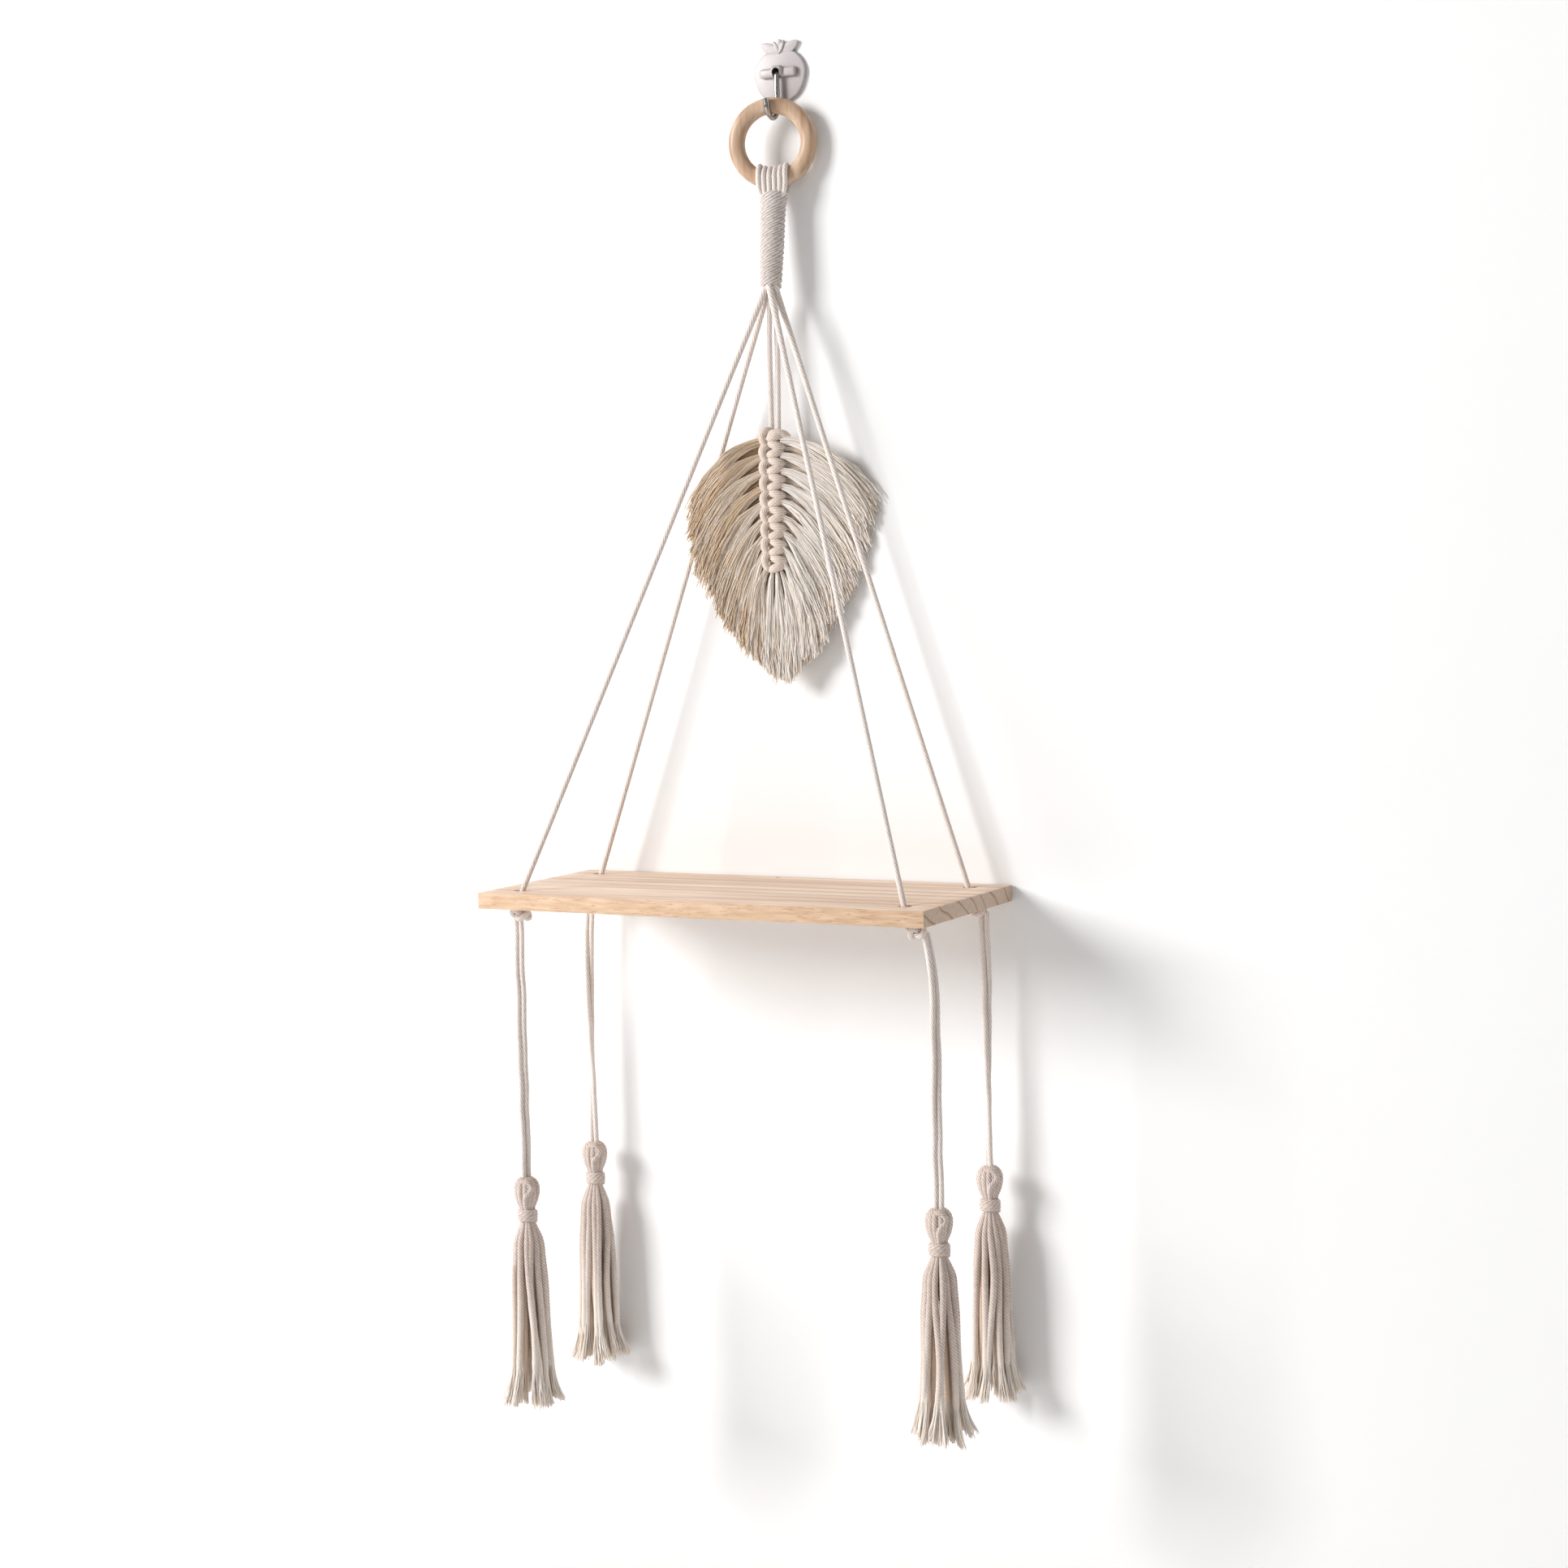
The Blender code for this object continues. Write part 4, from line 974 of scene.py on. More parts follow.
def wire_route():
    """Out of the plate, down behind the ring, under its top and up in front of it."""
    reach = RING_TUBE / math.cos(RING_TURN) + WIRE_GAP + WIRE_R
    eye_z = RING_PLACE.z + RING_R
    stem_y = RING_PLACE.y + reach
    route = [Vector((0.0, -PLATE_T - 0.5 * MM, SADDLE_Z))]
    for step in range(9):
        a = math.radians(90 - 11.25 * step)
        y = stem_y + WIRE_BEND * (1 - math.cos(a))
        route.append(Vector((0.0, y, SADDLE_Z - WIRE_BEND * (1 - math.sin(a)))))
    for share in (0.3, 0.6, 0.9):
        route.append(Vector((0.0, stem_y, (SADDLE_Z - WIRE_BEND) * (1 - share) + eye_z * share)))
    for step in range(25):
        a = math.radians(-7.5 * step)
        route.append(Vector((0.0, RING_PLACE.y + reach * math.cos(a), eye_z + reach * math.sin(a))))
    route.append(Vector((-0.7 * MM, RING_PLACE.y - reach - 0.2 * MM, eye_z + 3.4 * MM)))
    return route


def wire_piece():
    made = curve_object(
        "bent_wire",
        wire_route(),
        False,
        dimensions="3D",
        bevel_depth=WIRE_R,
        bevel_resolution=8,
        use_fill_caps=True,
    )
    return shaded(closed_mesh(made, 0.005 * MM), 50)


def steel_material():
    made, tree, shader = surface("plated_steel", Base_Color=STEEL, Metallic=1.0)
    marks = noise(tree, mapped(tree, object_place(tree), Scale=(1.0, 1.0, 0.05)), 1800.0, 3.0)
    feed(tree, shader, Roughness=calc(tree, "MULTIPLY_ADD", marks, 0.16, 0.08))
    return made


wire = wire_piece()
coat(wire, steel_material())
dress(wire, "steel", "hook_wire")

# %% [markdown]
# Six turns of cord pass over the foot of the ring and go down into the neck. Each turn follows the
# ring's round section at a cord's radius off it. The neck itself is one long cord, wound round and
# round the gathered ones. It is pulled so tight that its turns flatten into each other, so the
# section is wider than the space between turns, and only its slanting plies stand out. Real winding
# is never even, so each turn gets a slightly different place and swell from a fixed seed.

# %% Neck
LOOP_COUNT = 6
LOOP_PITCH = 3.3 * MM
LOOP_R = 1.7 * MM
LOOP_GAP = 0.25 * MM
# depth and height from the middle of the ring's tube, and how far the turns are spread there
LOOP_UP = ((-2.6 * MM, -16.0 * MM, 0.4), (-4.2 * MM, -12.0 * MM, 0.62), (-6.0 * MM, -8.0 * MM, 0.92))
LOOP_DOWN = ((5.6 * MM, -8.0 * MM, 0.84), (3.8 * MM, -12.0 * MM, 0.6), (2.6 * MM, -16.0 * MM, 0.4))
NECK_TOP = Vector((0.0, -13.5 * MM, -72.3 * MM))
NECK_BOTTOM = Vector((-1.0 * MM, -18.0 * MM, -130.8 * MM))
# how far inside the neck the winding's two ends are tucked
TUCK_TOP = 6.0 * MM
TUCK_BOTTOM = 7.0 * MM
# share of the neck's length, half width and half depth
NECK_PROFILE = (
    (0.00, 9.5 * MM, 8.6 * MM),
    (0.07, 8.8 * MM, 8.0 * MM),
    (0.15, 8.2 * MM, 7.6 * MM),
    (0.60, 7.9 * MM, 7.3 * MM),
    (1.00, 6.9 * MM, 6.6 * MM),
)
WRAP_R = 2.5 * MM
WRAP_TURNS = 17
WRAP_STEPS = 16


def blend_rows(rows, share):
    """Values read between the rows of a table at a share of its first column."""
    for low, high in zip(rows, rows[1:]):
        if share <= high[0]:
            t = max(0.0, min(1.0, (share - low[0]) / (high[0] - low[0])))
            return [a + (b - a) * t for a, b in zip(low[1:], high[1:])]
    return list(rows[-1][1:])


def loop_route(offset, place):
    """One cord turn over the foot of the ring: up its front, over it and down its back."""
    lean = math.sqrt(1 - (offset / RING_R) ** 2)
    middle = -RING_R * lean
    deep = RING_TUBE + LOOP_GAP + LOOP_R
    high = RING_TUBE / lean + LOOP_GAP + LOOP_R
    over = [math.radians(-20 + 27.5 * step) for step in range(9)]
    spots = [*LOOP_UP, *((-deep * math.cos(a), high * math.sin(a), 1.0) for a in over), *LOOP_DOWN]
    return [
        place @ Vector((offset * spread, y, middle * spread - RING_R * (1 - spread) + z))
        for y, z, spread in spots
    ]


def wrap_route():
    """The winding, as one line round the neck from top to bottom, laid just inside its skin."""
    chance = random.Random(21)
    route = []
    swell = []
    drift = 0.0
    for turn_index in range(WRAP_TURNS):
        lift = chance.uniform(-0.25, 0.25) * MM
        fat = chance.uniform(0.97, 1.03)
        for step in range(WRAP_STEPS):
            a = math.tau * step / WRAP_STEPS
            share = (turn_index + step / WRAP_STEPS) / (WRAP_TURNS - 0.1)
            drift += (lift - drift) * 0.2
            half_w, half_d = blend_rows(NECK_PROFILE, share)
            middle = NECK_TOP.lerp(NECK_BOTTOM, 0.02 + 0.95 * share)
            out = Vector(((half_w - WRAP_R) * math.cos(a), -(half_d - WRAP_R) * math.sin(a), drift))
            route.append(middle + out)
            swell.append(fat)
    ends = ((0, NECK_TOP, -TUCK_TOP), (len(route), NECK_BOTTOM, TUCK_BOTTOM))
    for index, middle, inside in ends:
        route.insert(index, middle + Vector((0.0, 0.0, inside)))
        swell.insert(index, 0.5)
    return route, swell


loop_offsets = [(i - (LOOP_COUNT - 1) / 2) * LOOP_PITCH for i in range(LOOP_COUNT)]
loops = twist_cords(
    "ring_loops",
    [loop_route(offset, ring_frame) for offset in loop_offsets],
    Radius=LOOP_R,
    Material=rope_cotton,
    Turn=13 * MM,
    Step=0.9 * MM,
)
dress(loops, "cotton", "neck")
wound, wound_swell = wrap_route()
wrap = twist_cords(
    "neck_wrap",
    [wound],
    [wound_swell],
    Radius=WRAP_R,
    Material=neck_cotton,
    Plies=8,
    Turn=29 * MM,
    Step=1.2 * MM,
    Groove=0.17,
)
dress(wrap, "cotton", "neck")

# %% [markdown]
# Each of the four cords leaves the neck, passes its hole in the board and is stopped by a knot. A
# stopper knot drawn tight is close to a trefoil, a curve that winds three times through itself, so
# a squashed trefoil with the same twisted cord looks tied. Below it the cord goes on as a doubled
# leg, two strands that turn slowly round each other down to the tassel.

# %% Four cords, their knots and legs
CORD_R = 1.8 * MM
FAN_R = 4.0 * MM
LEG_R = 1.7 * MM
LEG_STEPS = 14
KNOT_GAP = 0.3 * MM
KNOT_HALF_Y = 6.2 * MM
KNOT_HALF_Z = 4.6 * MM
KNOT_STEPS = 42
ROPE = {"Radius": CORD_R, "Material": rope_cotton, "Plies": 7, "Turn": 24 * MM, "Step": 1.6 * MM}
# the cord's swell at its first points: it is fuller where it leaves the neck
ROPE_SWELL = (0.9, 1.2, 1.25, 1.1, 1.04, 1.0)
# where the cord leaves the neck in degrees, the knot's offset and half length, its lean, and the
# angles that the pair of leg strands stands at, above and below
CORNERS = {
    "front_left": (210, 0.0, 7.6 * MM, 24, (10, 60)),
    "back_left": (150, -4.0 * MM, 7.2 * MM, -20, (-10, 190)),
    "front_right": (290, 7.5 * MM, 8.4 * MM, -24, (80, 10)),
    "back_right": (350, 5.0 * MM, 7.2 * MM, 22, (0, 150)),
}


def upright(z):
    return Vector((0.0, 0.0, z))


def tassel_place(name):
    """The middle of the tassel at the top of its head."""
    band_low, band_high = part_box(f"tassel_band_{name}")
    head_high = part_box(f"tassel_{name}")[1]
    return Vector(((band_low.x + band_high.x) / 2, (band_low.y + band_high.y) / 2, head_high.z))


def knot_place(name):
    hole = hole_places[name]
    return Vector((hole.x + CORNERS[name][1], hole.y, board_low.z - KNOT_GAP - KNOT_HALF_Z))


def rope_route(name):
    """From inside the neck straight to the hole, through it and into the knot."""
    hole = hole_places[name]
    knot = knot_place(name)
    a = math.radians(CORNERS[name][0])
    top = NECK_BOTTOM + Vector((FAN_R * math.cos(a), FAN_R * math.sin(a), 0.0))
    inward = Vector((top.x - hole.x, top.y - hole.y, 0.0)).normalized()
    mouth = hole + inward * 1.7 * MM + upright(1.0 * MM)
    bend = top - upright(1.5 * MM)
    start = NECK_BOTTOM.lerp(top, 0.55) + upright(9.0 * MM)
    route = [start, top.lerp(start, 0.35), *[bend.lerp(mouth, share / 8) for share in range(9)]]
    route.append(hole + inward * 0.9 * MM - upright(board_size.z * 0.45))
    route.append(hole - upright(board_size.z + 1.0 * MM))
    route.append(Vector(((hole.x + knot.x) / 2, hole.y, knot.z)))
    return route


def knot_route(name):
    """A squashed trefoil that fills the knot's length, depth and height, and leans as the real one."""
    _, _, half, lean, _ = CORNERS[name]
    middle = knot_place(name)
    spin = Matrix.Rotation(math.radians(lean * 0.6), 4, "Y") @ Matrix.Rotation(math.radians(lean * 2), 4, "Z")
    inner = (half - CORD_R, KNOT_HALF_Y - CORD_R, KNOT_HALF_Z - CORD_R)
    route = []
    for step in range(KNOT_STEPS + 1):
        a = math.tau * step / KNOT_STEPS
        x = (math.sin(a) + 2 * math.sin(2 * a)) / 2.76
        y = (math.cos(a) - 2 * math.cos(2 * a)) / 3.0
        z = -math.sin(3 * a)
        spot = spin @ Vector((x * inner[0], y * inner[1], z * inner[2] * 0.8))
        spot.z = max(-inner[2], min(inner[2], spot.z))
        route.append(middle + spot)
    return route


def leg_routes(name):
    """The two strands of the leg, from inside the knot to inside the tassel's head."""
    hole = hole_places[name]
    foot = tassel_place(name)
    knot = knot_place(name)
    _, knot_x, knot_half, _, turn = CORNERS[name]
    most = knot_half - 2 * LEG_R
    lead = max(-most, min(most, foot.x - hole.x - knot_x))
    end_z = foot.z - 3.0 * MM
    chance = random.Random(len(name) * 7 + int(turn[1]))
    first, last = (math.radians(t) for t in turn)
    half = LEG_R * 0.97
    lines = ([], [])
    for step in range(LEG_STEPS + 1):
        share = step / LEG_STEPS
        settle = min(1.0, share * 6)
        x = knot.x + lead + (foot.x - knot.x - lead) * settle
        a = first + (last - first) * share
        spread = Vector((half * math.cos(a), half * math.sin(a), 0.0))
        wave = Vector((chance.uniform(-0.35, 0.35), chance.uniform(-0.3, 0.3), 0.0)) * MM
        middle = Vector((x, hole.y, knot.z + (end_z - knot.z) * share)) + wave * (0 < step < LEG_STEPS)
        lines[0].append(middle + spread)
        lines[1].append(middle - spread)
    return lines


for name in CORNERS:
    routes = [rope_route(name), knot_route(name), *leg_routes(name)]
    sizes_along = [1.0, 1.0, LEG_R / CORD_R, LEG_R / CORD_R]
    swells = [[size] * len(route) for size, route in zip(sizes_along, routes)]
    swells[0][: len(ROPE_SWELL)] = ROPE_SWELL
    dress(twist_cords(f"twisted_{name}", routes, swells, **ROPE), "cotton", f"cord_{name}")

# %% [markdown]
# Strings are the second shape that repeats: a lock of fringe, or the frayed end of a cord, is a
# bundle of them. This tree takes one line for each bundle, with two vectors at each point that say
# how far the bundle spreads across and in depth. It copies the line for each string, gives every
# copy its own place in the bundle, a fixed random wave and a length, and sweeps a thin section.

# %% The string bundle tree
def bundle_places(tree, copies, given):
    """Stores where each string stands in its bundle, its shade, which is painted shade darker deep in the
    bundle plus a random tone, and its length.
    """
    own = put(tree, "GeometryNodeInputIndex").outputs[0]

    def chance(low, high, offset):
        seed = calc(tree, "ADD", given["Seed"], float(offset))
        feeds = {"ID": own, "Seed": seed, "n2": low, "n3": high}
        return put(tree, "FunctionNodeRandomValue", {"data_type": "FLOAT"}, **feeds).outputs[1]

    order = calc(tree, "ADD", copies.outputs[1], chance(0.0, 1.0, 0))
    doubled = calc(tree, "MULTIPLY", calc(tree, "DIVIDE", order, given["Strings"]), 2.0)
    strings = store(tree, copies.outputs[0], "across", calc(tree, "SUBTRACT", doubled, 1.0), domain="CURVE")
    taken = calc(tree, "POWER", named(tree, "across"), 2.0)
    left = calc(tree, "SQRT", calc(tree, "MAXIMUM", calc(tree, "SUBTRACT", 1.0, taken), 0.02))
    depth = calc(tree, "MULTIPLY", left, chance(-1.0, 1.0, 11))
    strings = store(tree, strings, "depth", depth, domain="CURVE")
    # painted shade: strings deeper in the bundle get a lower shade, so they are darker
    outer = calc(tree, "MULTIPLY_ADD", named(tree, "depth"), -0.3, 0.3)
    strings = store(tree, strings, "shade", calc(tree, "ADD", outer, chance(0.0, 0.4, 23)), domain="CURVE")
    strings = store(tree, strings, "own", chance(0.0, 90.0, 37), domain="CURVE")
    cut = calc(tree, "MULTIPLY", chance(0.0, 1.0, 51), given["Uneven"])
    ends = {"Curve": strings, "End": calc(tree, "SUBTRACT", 1.0, cut)}
    return put(tree, "GeometryNodeTrimCurve", {"mode": "FACTOR"}, **ends).outputs[0]


def bundle_shape(tree, factor, given):
    """Where a string's point goes: spread, swaying more towards the tip, and never into the wall."""
    wide = scaled(tree, named(tree, "wide", "FLOAT_VECTOR"), named(tree, "across"))
    deep = scaled(tree, named(tree, "deep", "FLOAT_VECTOR"), named(tree, "depth"))
    along = calc(tree, "MULTIPLY", factor, 4.4)
    spot = put(tree, "ShaderNodeCombineXYZ", X=named(tree, "own"), Y=along, Z=0.0).outputs[0]
    colour = put(tree, "ShaderNodeTexNoise", Vector=spot, Scale=1.0, Detail=1.0).outputs["Color"]
    growing = calc(tree, "MULTIPLY", calc(tree, "MULTIPLY", given["Wave"], 4.0), factor)

    def summed(first, second, operation="ADD"):
        return put(tree, "ShaderNodeVectorMath", {"operation": operation}, n0=first, n1=second).outputs[0]

    sway = scaled(tree, summed(colour, (0.5, 0.5, 0.5), "SUBTRACT"), growing)
    here = put(tree, "GeometryNodeInputPosition").outputs[0]
    free = parts_of(tree, summed(here, summed(summed(wide, deep), sway)))
    off_wall = calc(tree, "MINIMUM", free[1], given["Wall"])
    return put(tree, "ShaderNodeCombineXYZ", X=free[0], Y=off_wall, Z=free[2]).outputs[0]


def string_tree():
    sizes = (
        ("Strings", "Int", 30),
        ("Radius", "Float", 0.32 * MM),
        ("Wave", "Float", 0.6 * MM),
        ("Uneven", "Float", 0.06),
        ("Steps", "Int", 9),
        ("Sides", "Int", 3),
        ("Wall", "Float", -0.6 * MM),
        ("Seed", "Int", 1),
        ("Material", "Material", None),
    )
    tree, given, end = start_tree("string_bundle", sizes)
    lines = put(tree, "GeometryNodeMeshToCurve", Mesh=given["Geometry"]).outputs[0]
    amount = {"Geometry": lines, "Amount": given["Strings"]}
    copies = put(tree, "GeometryNodeDuplicateElements", {"domain": "SPLINE"}, **amount)
    trimmed = bundle_places(tree, copies, given)
    even = put(tree, "GeometryNodeResampleCurve", {"mode": "COUNT"}, Curve=trimmed, Count=given["Steps"])
    factor = put(tree, "GeometryNodeSplineParameter").outputs["Factor"]
    shape = bundle_shape(tree, factor, given)
    moved = store(tree, moved_to(tree, even.outputs[0], shape), "along", factor)
    thinner = calc(tree, "MULTIPLY", calc(tree, "POWER", named(tree, "along"), 3.0), 0.35)
    section = circle_section(tree, given["Sides"], given["Radius"])
    mesh = sweep(tree, moved, section, calc(tree, "SUBTRACT", 1.0, thinner))
    return finish_tree(tree, end, mesh, given["Material"])


STRING_TREE = string_tree()


def comb_strings(name, bundles, material, warmth, **sizes):
    """Bundles of strings. Each bundle is a list of (place, wide, deep), with one warmth for all of it."""
    routes, wide, deep = ([[spot[part] for spot in bundle] for bundle in bundles] for part in range(3))
    warm = [[share] * len(bundle) for share, bundle in zip(warmth, bundles)]
    lines = lines_object(name, routes, wide=wide, deep=deep, warm=warm)
    return grow(lines, STRING_TREE, Material=material, **sizes)


print("the string tree has", len(STRING_TREE.nodes), "nodes")

# %% [markdown]
# The leaf hangs on two short cords. Nine locks of combed string leave its spine on each side, front
# and back, and three more its foot. The lines between locks come from one rule, a curve from the
# spine to the leaf's outline, so that neighbours run side by side.

# %% Leaf lines
LEAF_TOP = Vector((-1.0 * MM, -17.0 * MM, -218.6 * MM))
LEAF_TURN = math.radians(14)
LEAF_FRAME = Matrix.Translation(LEAF_TOP) @ Matrix.Rotation(LEAF_TURN, 4, "Z")
SPINE_LENGTH = 85 * MM
SPINE_HALF_W = 9.0 * MM
# share down the spine, then X and Z of the lock's tip on the left and on the right
LEAF_TIPS = (
    (0.00, -56 * MM, -48 * MM, 61 * MM, -44 * MM),
    (0.20, -55 * MM, -70 * MM, 58 * MM, -68 * MM),
    (0.40, -49 * MM, -93 * MM, 49 * MM, -90 * MM),
    (0.60, -39 * MM, -114 * MM, 39 * MM, -111 * MM),
    (0.80, -26 * MM, -132 * MM, 28 * MM, -131 * MM),
    (1.00, -11 * MM, -147 * MM, 15 * MM, -148 * MM),
)
# share down the spine, then how far the line runs out and down at its root, and in and up at its tip
LOCK_RUNS = (
    (0.0, 21 * MM, 0 * MM, 9 * MM, 25 * MM),
    (0.5, 15 * MM, 4 * MM, 7 * MM, 24 * MM),
    (1.0, 7 * MM, 8 * MM, -2 * MM, 22 * MM),
)
LEAF_END = 11 * MM
LOCK_ROOT = 0.45


def lock_edge(side, share, t):
    """The line that starts at a share down the spine, at t along its run."""
    left_x, left_z, right_x, right_z = blend_rows(LEAF_TIPS, share)
    out, down, inside, above = blend_rows(LOCK_RUNS, share)
    root = Vector((side * SPINE_HALF_W * LOCK_ROOT, 0.0, -SPINE_LENGTH * share))
    tip = Vector((left_x, 0.0, left_z)) if side < 0 else Vector((right_x, 0.0, right_z))
    first = root + Vector((side * out, 0.0, -down))
    second = tip + Vector((-side * inside, 0.0, above))
    u = 1 - t
    return u**3 * root + 3 * u * u * t * first + 3 * u * t * t * second + t**3 * tip


def foot_edge(share, t):
    """The same below the spine's end, between the last line on the left and the last on the right."""
    sag = LEAF_END * t * (1 - (2 * share - 1) ** 2)
    return lock_edge(-1, 1.0, t).lerp(lock_edge(1, 1.0, t), share) - upright(sag)


print("the leaf's foot is", round(-foot_edge(0.5, 1.0).z / MM), "mm below its top")

# %% [markdown]
# Each lock is four thinner bundles. They twist about each other near the root, where the string is still half
# cord, and then fan out. Every lock is cut square to its own run, which gives the outline its steps. The left
# side is a darker tan, most at the top, and the layers behind are tan as well, which is painted shade deep in
# the leaf.

# %% Locks of fringe
LOCKS = 9
FOOT_LOCKS = 3
LOCK_POINTS = 12
LOCK_PARTS = 4
# a lock is this much of a turn in radians at its root, and untwisted from this share of its run
LOCK_TWIST = 2.6
LOCK_UNTWISTED = 0.36
LEAF_OFF_WALL = -2.7 * MM
# for each piece of fringe: its layers, each with its side of the spine, its shift by a part of a lock and its
# tan, which is painted shade for the layers behind, then the strings of a bundle and the sides of a string
LEAF_LAYERS = {
    "front": (((-1, 0.0, 0.0),), 15, 4),
    "back": (((1, 0.5, 0.2), (0, 0.5, 0.55)), 10, 3),
}


def lock_bundles(edges, layer, bulge, cut_square, chance):
    """One lock between two edge lines, as bundles that are twisted at the root and fanned at the tip."""
    turn_only = LEAF_FRAME.to_3x3()
    whole = chance.uniform(0.955, 1.0)
    bundles = []
    for part in range(LOCK_PARTS):
        spot = (part + 0.5) / LOCK_PARTS * 2 - 1 + chance.uniform(-0.12, 0.12)
        reach = whole * chance.uniform(0.955, 1.0)
        start_turn = math.pi * part / LOCK_PARTS * 2
        phase, swing = chance.uniform(0, math.tau), chance.uniform(0.8, 2.2)
        lift = chance.uniform(-0.7, 0.7)
        bundle = []
        for step in range(LOCK_POINTS):
            t = reach * step / (LOCK_POINTS - 1)
            a, b = edges[0](t), edges[1](t)
            run = (edges[0](t + 0.02) + edges[1](t + 0.02) - a - b).normalized()
            half = (b - a) / 2
            square = Vector((-run.z, 0.0, run.x)) * half.length
            if square.dot(half) < 0:
                square = -square
            half = half.lerp(square, cut_square * min(1.0, 0.25 + t)) * (0.62 + 0.46 * min(1.0, 1.5 * t))
            untwisted = min(1.0, t / LOCK_UNTWISTED)
            turn = start_turn + LOCK_TWIST * (1 - untwisted)
            thick = 1.9 - 0.9 * t
            inner = 1 - untwisted
            across = spot * untwisted + 0.42 * math.cos(turn) * inner
            depth = (lift * untwisted + 0.75 * math.sin(turn) * inner) * thick
            wave = swing * math.sin(phase + 5.0 * t) * t * MM
            swollen = bulge * math.sin(math.pi * min(1.0, 1.25 * t + 0.14))
            forward = layer * (1.5 + swollen - 0.9 * t) + depth
            middle = (a + b) / 2 + half * across + square.normalized() * wave
            place = LEAF_FRAME @ (middle + Vector((0.0, forward * MM, 0.0)))
            place.y = min(place.y, LEAF_OFF_WALL)
            wide = half * (0.30 + 0.08 * untwisted)
            inward = -1.0 if layer > 0 else 1.0
            deep = Vector((0.0, inward * thick * (0.75 - 0.3 * untwisted) * MM, 0.0))
            bundle.append((place, turn_only @ wide, turn_only @ deep))
        bundles.append(bundle)
    return bundles


def layer_locks(shift):
    """The locks of one layer: their two edge lines, bulge, square cut and tan."""
    locks = []
    for side in (-1, 1):
        for index in range(LOCKS):
            shares = [min(1.0, (index + shift + extra) / LOCKS) for extra in (0.0, 1.0)]
            edges = [lambda t, s=share, k=side: lock_edge(k, s, t) for share in shares]
            # the left side is a darker tan, most at the top; the right side and the foot are less tan
            side_tan = 0.85 * (1 - 0.7 * shares[0]) if side < 0 else -0.14
            locks.append((edges, 2.6, 0.85 - 0.45 * max(0.0, shares[0] - 0.6) / 0.4, side_tan))
    for index in range(FOOT_LOCKS):
        shares = (index / FOOT_LOCKS, (index + 1) / FOOT_LOCKS)
        edges = [lambda t, s=share: foot_edge(s, t) for share in shares]
        locks.append((edges, 1.2, 0.0, -0.18))
    return locks


def leaf_bundles(layers):
    """The bundles of some layers of the leaf, and how tan each is."""
    chance = random.Random(8)
    bundles = []
    tans = []
    for layer, shift, tan in layers:
        for edges, bulge, cut_square, side_tan in layer_locks(shift):
            made = lock_bundles(edges, layer, bulge, cut_square, chance)
            bundles += made
            tans += [max(0.0, tan + side_tan + chance.uniform(-0.2, 0.25)) for _ in made]
    return bundles, tans


for face_name, (layers, string_count, string_sides) in LEAF_LAYERS.items():
    locks, tans = leaf_bundles(layers)
    fringe = comb_strings(
        f"leaf_fringe_{face_name}",
        locks,
        fringe_cotton,
        tans,
        Strings=string_count,
        Sides=string_sides,
        Radius=0.42 * MM,
        Wave=1.6 * MM,
        Uneven=0.07,
        Steps=11,
    )
    dress(fringe, "leaf_cotton", "leaf")

# %% [markdown]
# The spine is a column of half hitches. What shows is short fat lengths of cord across the middle,
# each leaning the other way than the last, and a row of loops down the left edge where the working
# cord turns back. They are the cord tree again, on short arcs that stand proud of the strings. The
# cords that carry the hitches run straight down inside and fill the gaps between the arcs.

# %% Leaf spine and its cords
SEGMENTS = 17
SPINE_CORD_R = 2.65 * MM
# millimetres across the spine, out from it and up, at each point of an arc, and the cord's swell
HITCH = ((-4.9, 0.9, 1.0), (-3.2, 3.2, 0.75), (0.0, 4.3, 0.0), (3.2, 3.2, -0.75), (4.9, 0.9, -1.0))
HITCH_SWELL = [0.5, 0.92, 1.05, 0.92, 0.5]
EDGE_LOOP = (
    (-2.6, 1.4, 0.6),
    (-5.2, 3.2, 0.2),
    (-7.2, 3.6, -2.0),
    (-7.3, 3.4, -5.4),
    (-5.8, 3.2, -8.6),
    (-3.4, 1.6, -10.6),
)
EDGE_LOOP_SWELL = [0.6, 0.9, 0.98, 0.98, 0.85, 0.5]
TOP_BAR = (
    (-5.0, 0.6, -3.0),
    (-2.4, 2.6, -1.2),
    (1.0, 3.4, -0.6),
    (4.6, 2.8, -1.0),
    (7.4, 1.8, -2.8),
    (9.4, 0.4, -5.6),
)
TOP_BAR_SWELL = [0.8, 0.95, 1.0, 1.0, 0.9, 0.6]
CARRIERS = (-4.0, -1.3, 1.4, 4.1)
CARRIER_SHARES = (0.02, 0.3, 0.6, 0.98)


def spine_arc(arc, face, x=0.0, z=0.0, slope=1.0):
    """An arc of cord at x millimetres across and z metres up, with its rise taken slope times."""
    spots = []
    for across, out, rise in arc:
        spots.append(LEAF_FRAME @ Vector(((x + across) * MM, face * out * MM, z + slope * rise * MM)))
    return spots


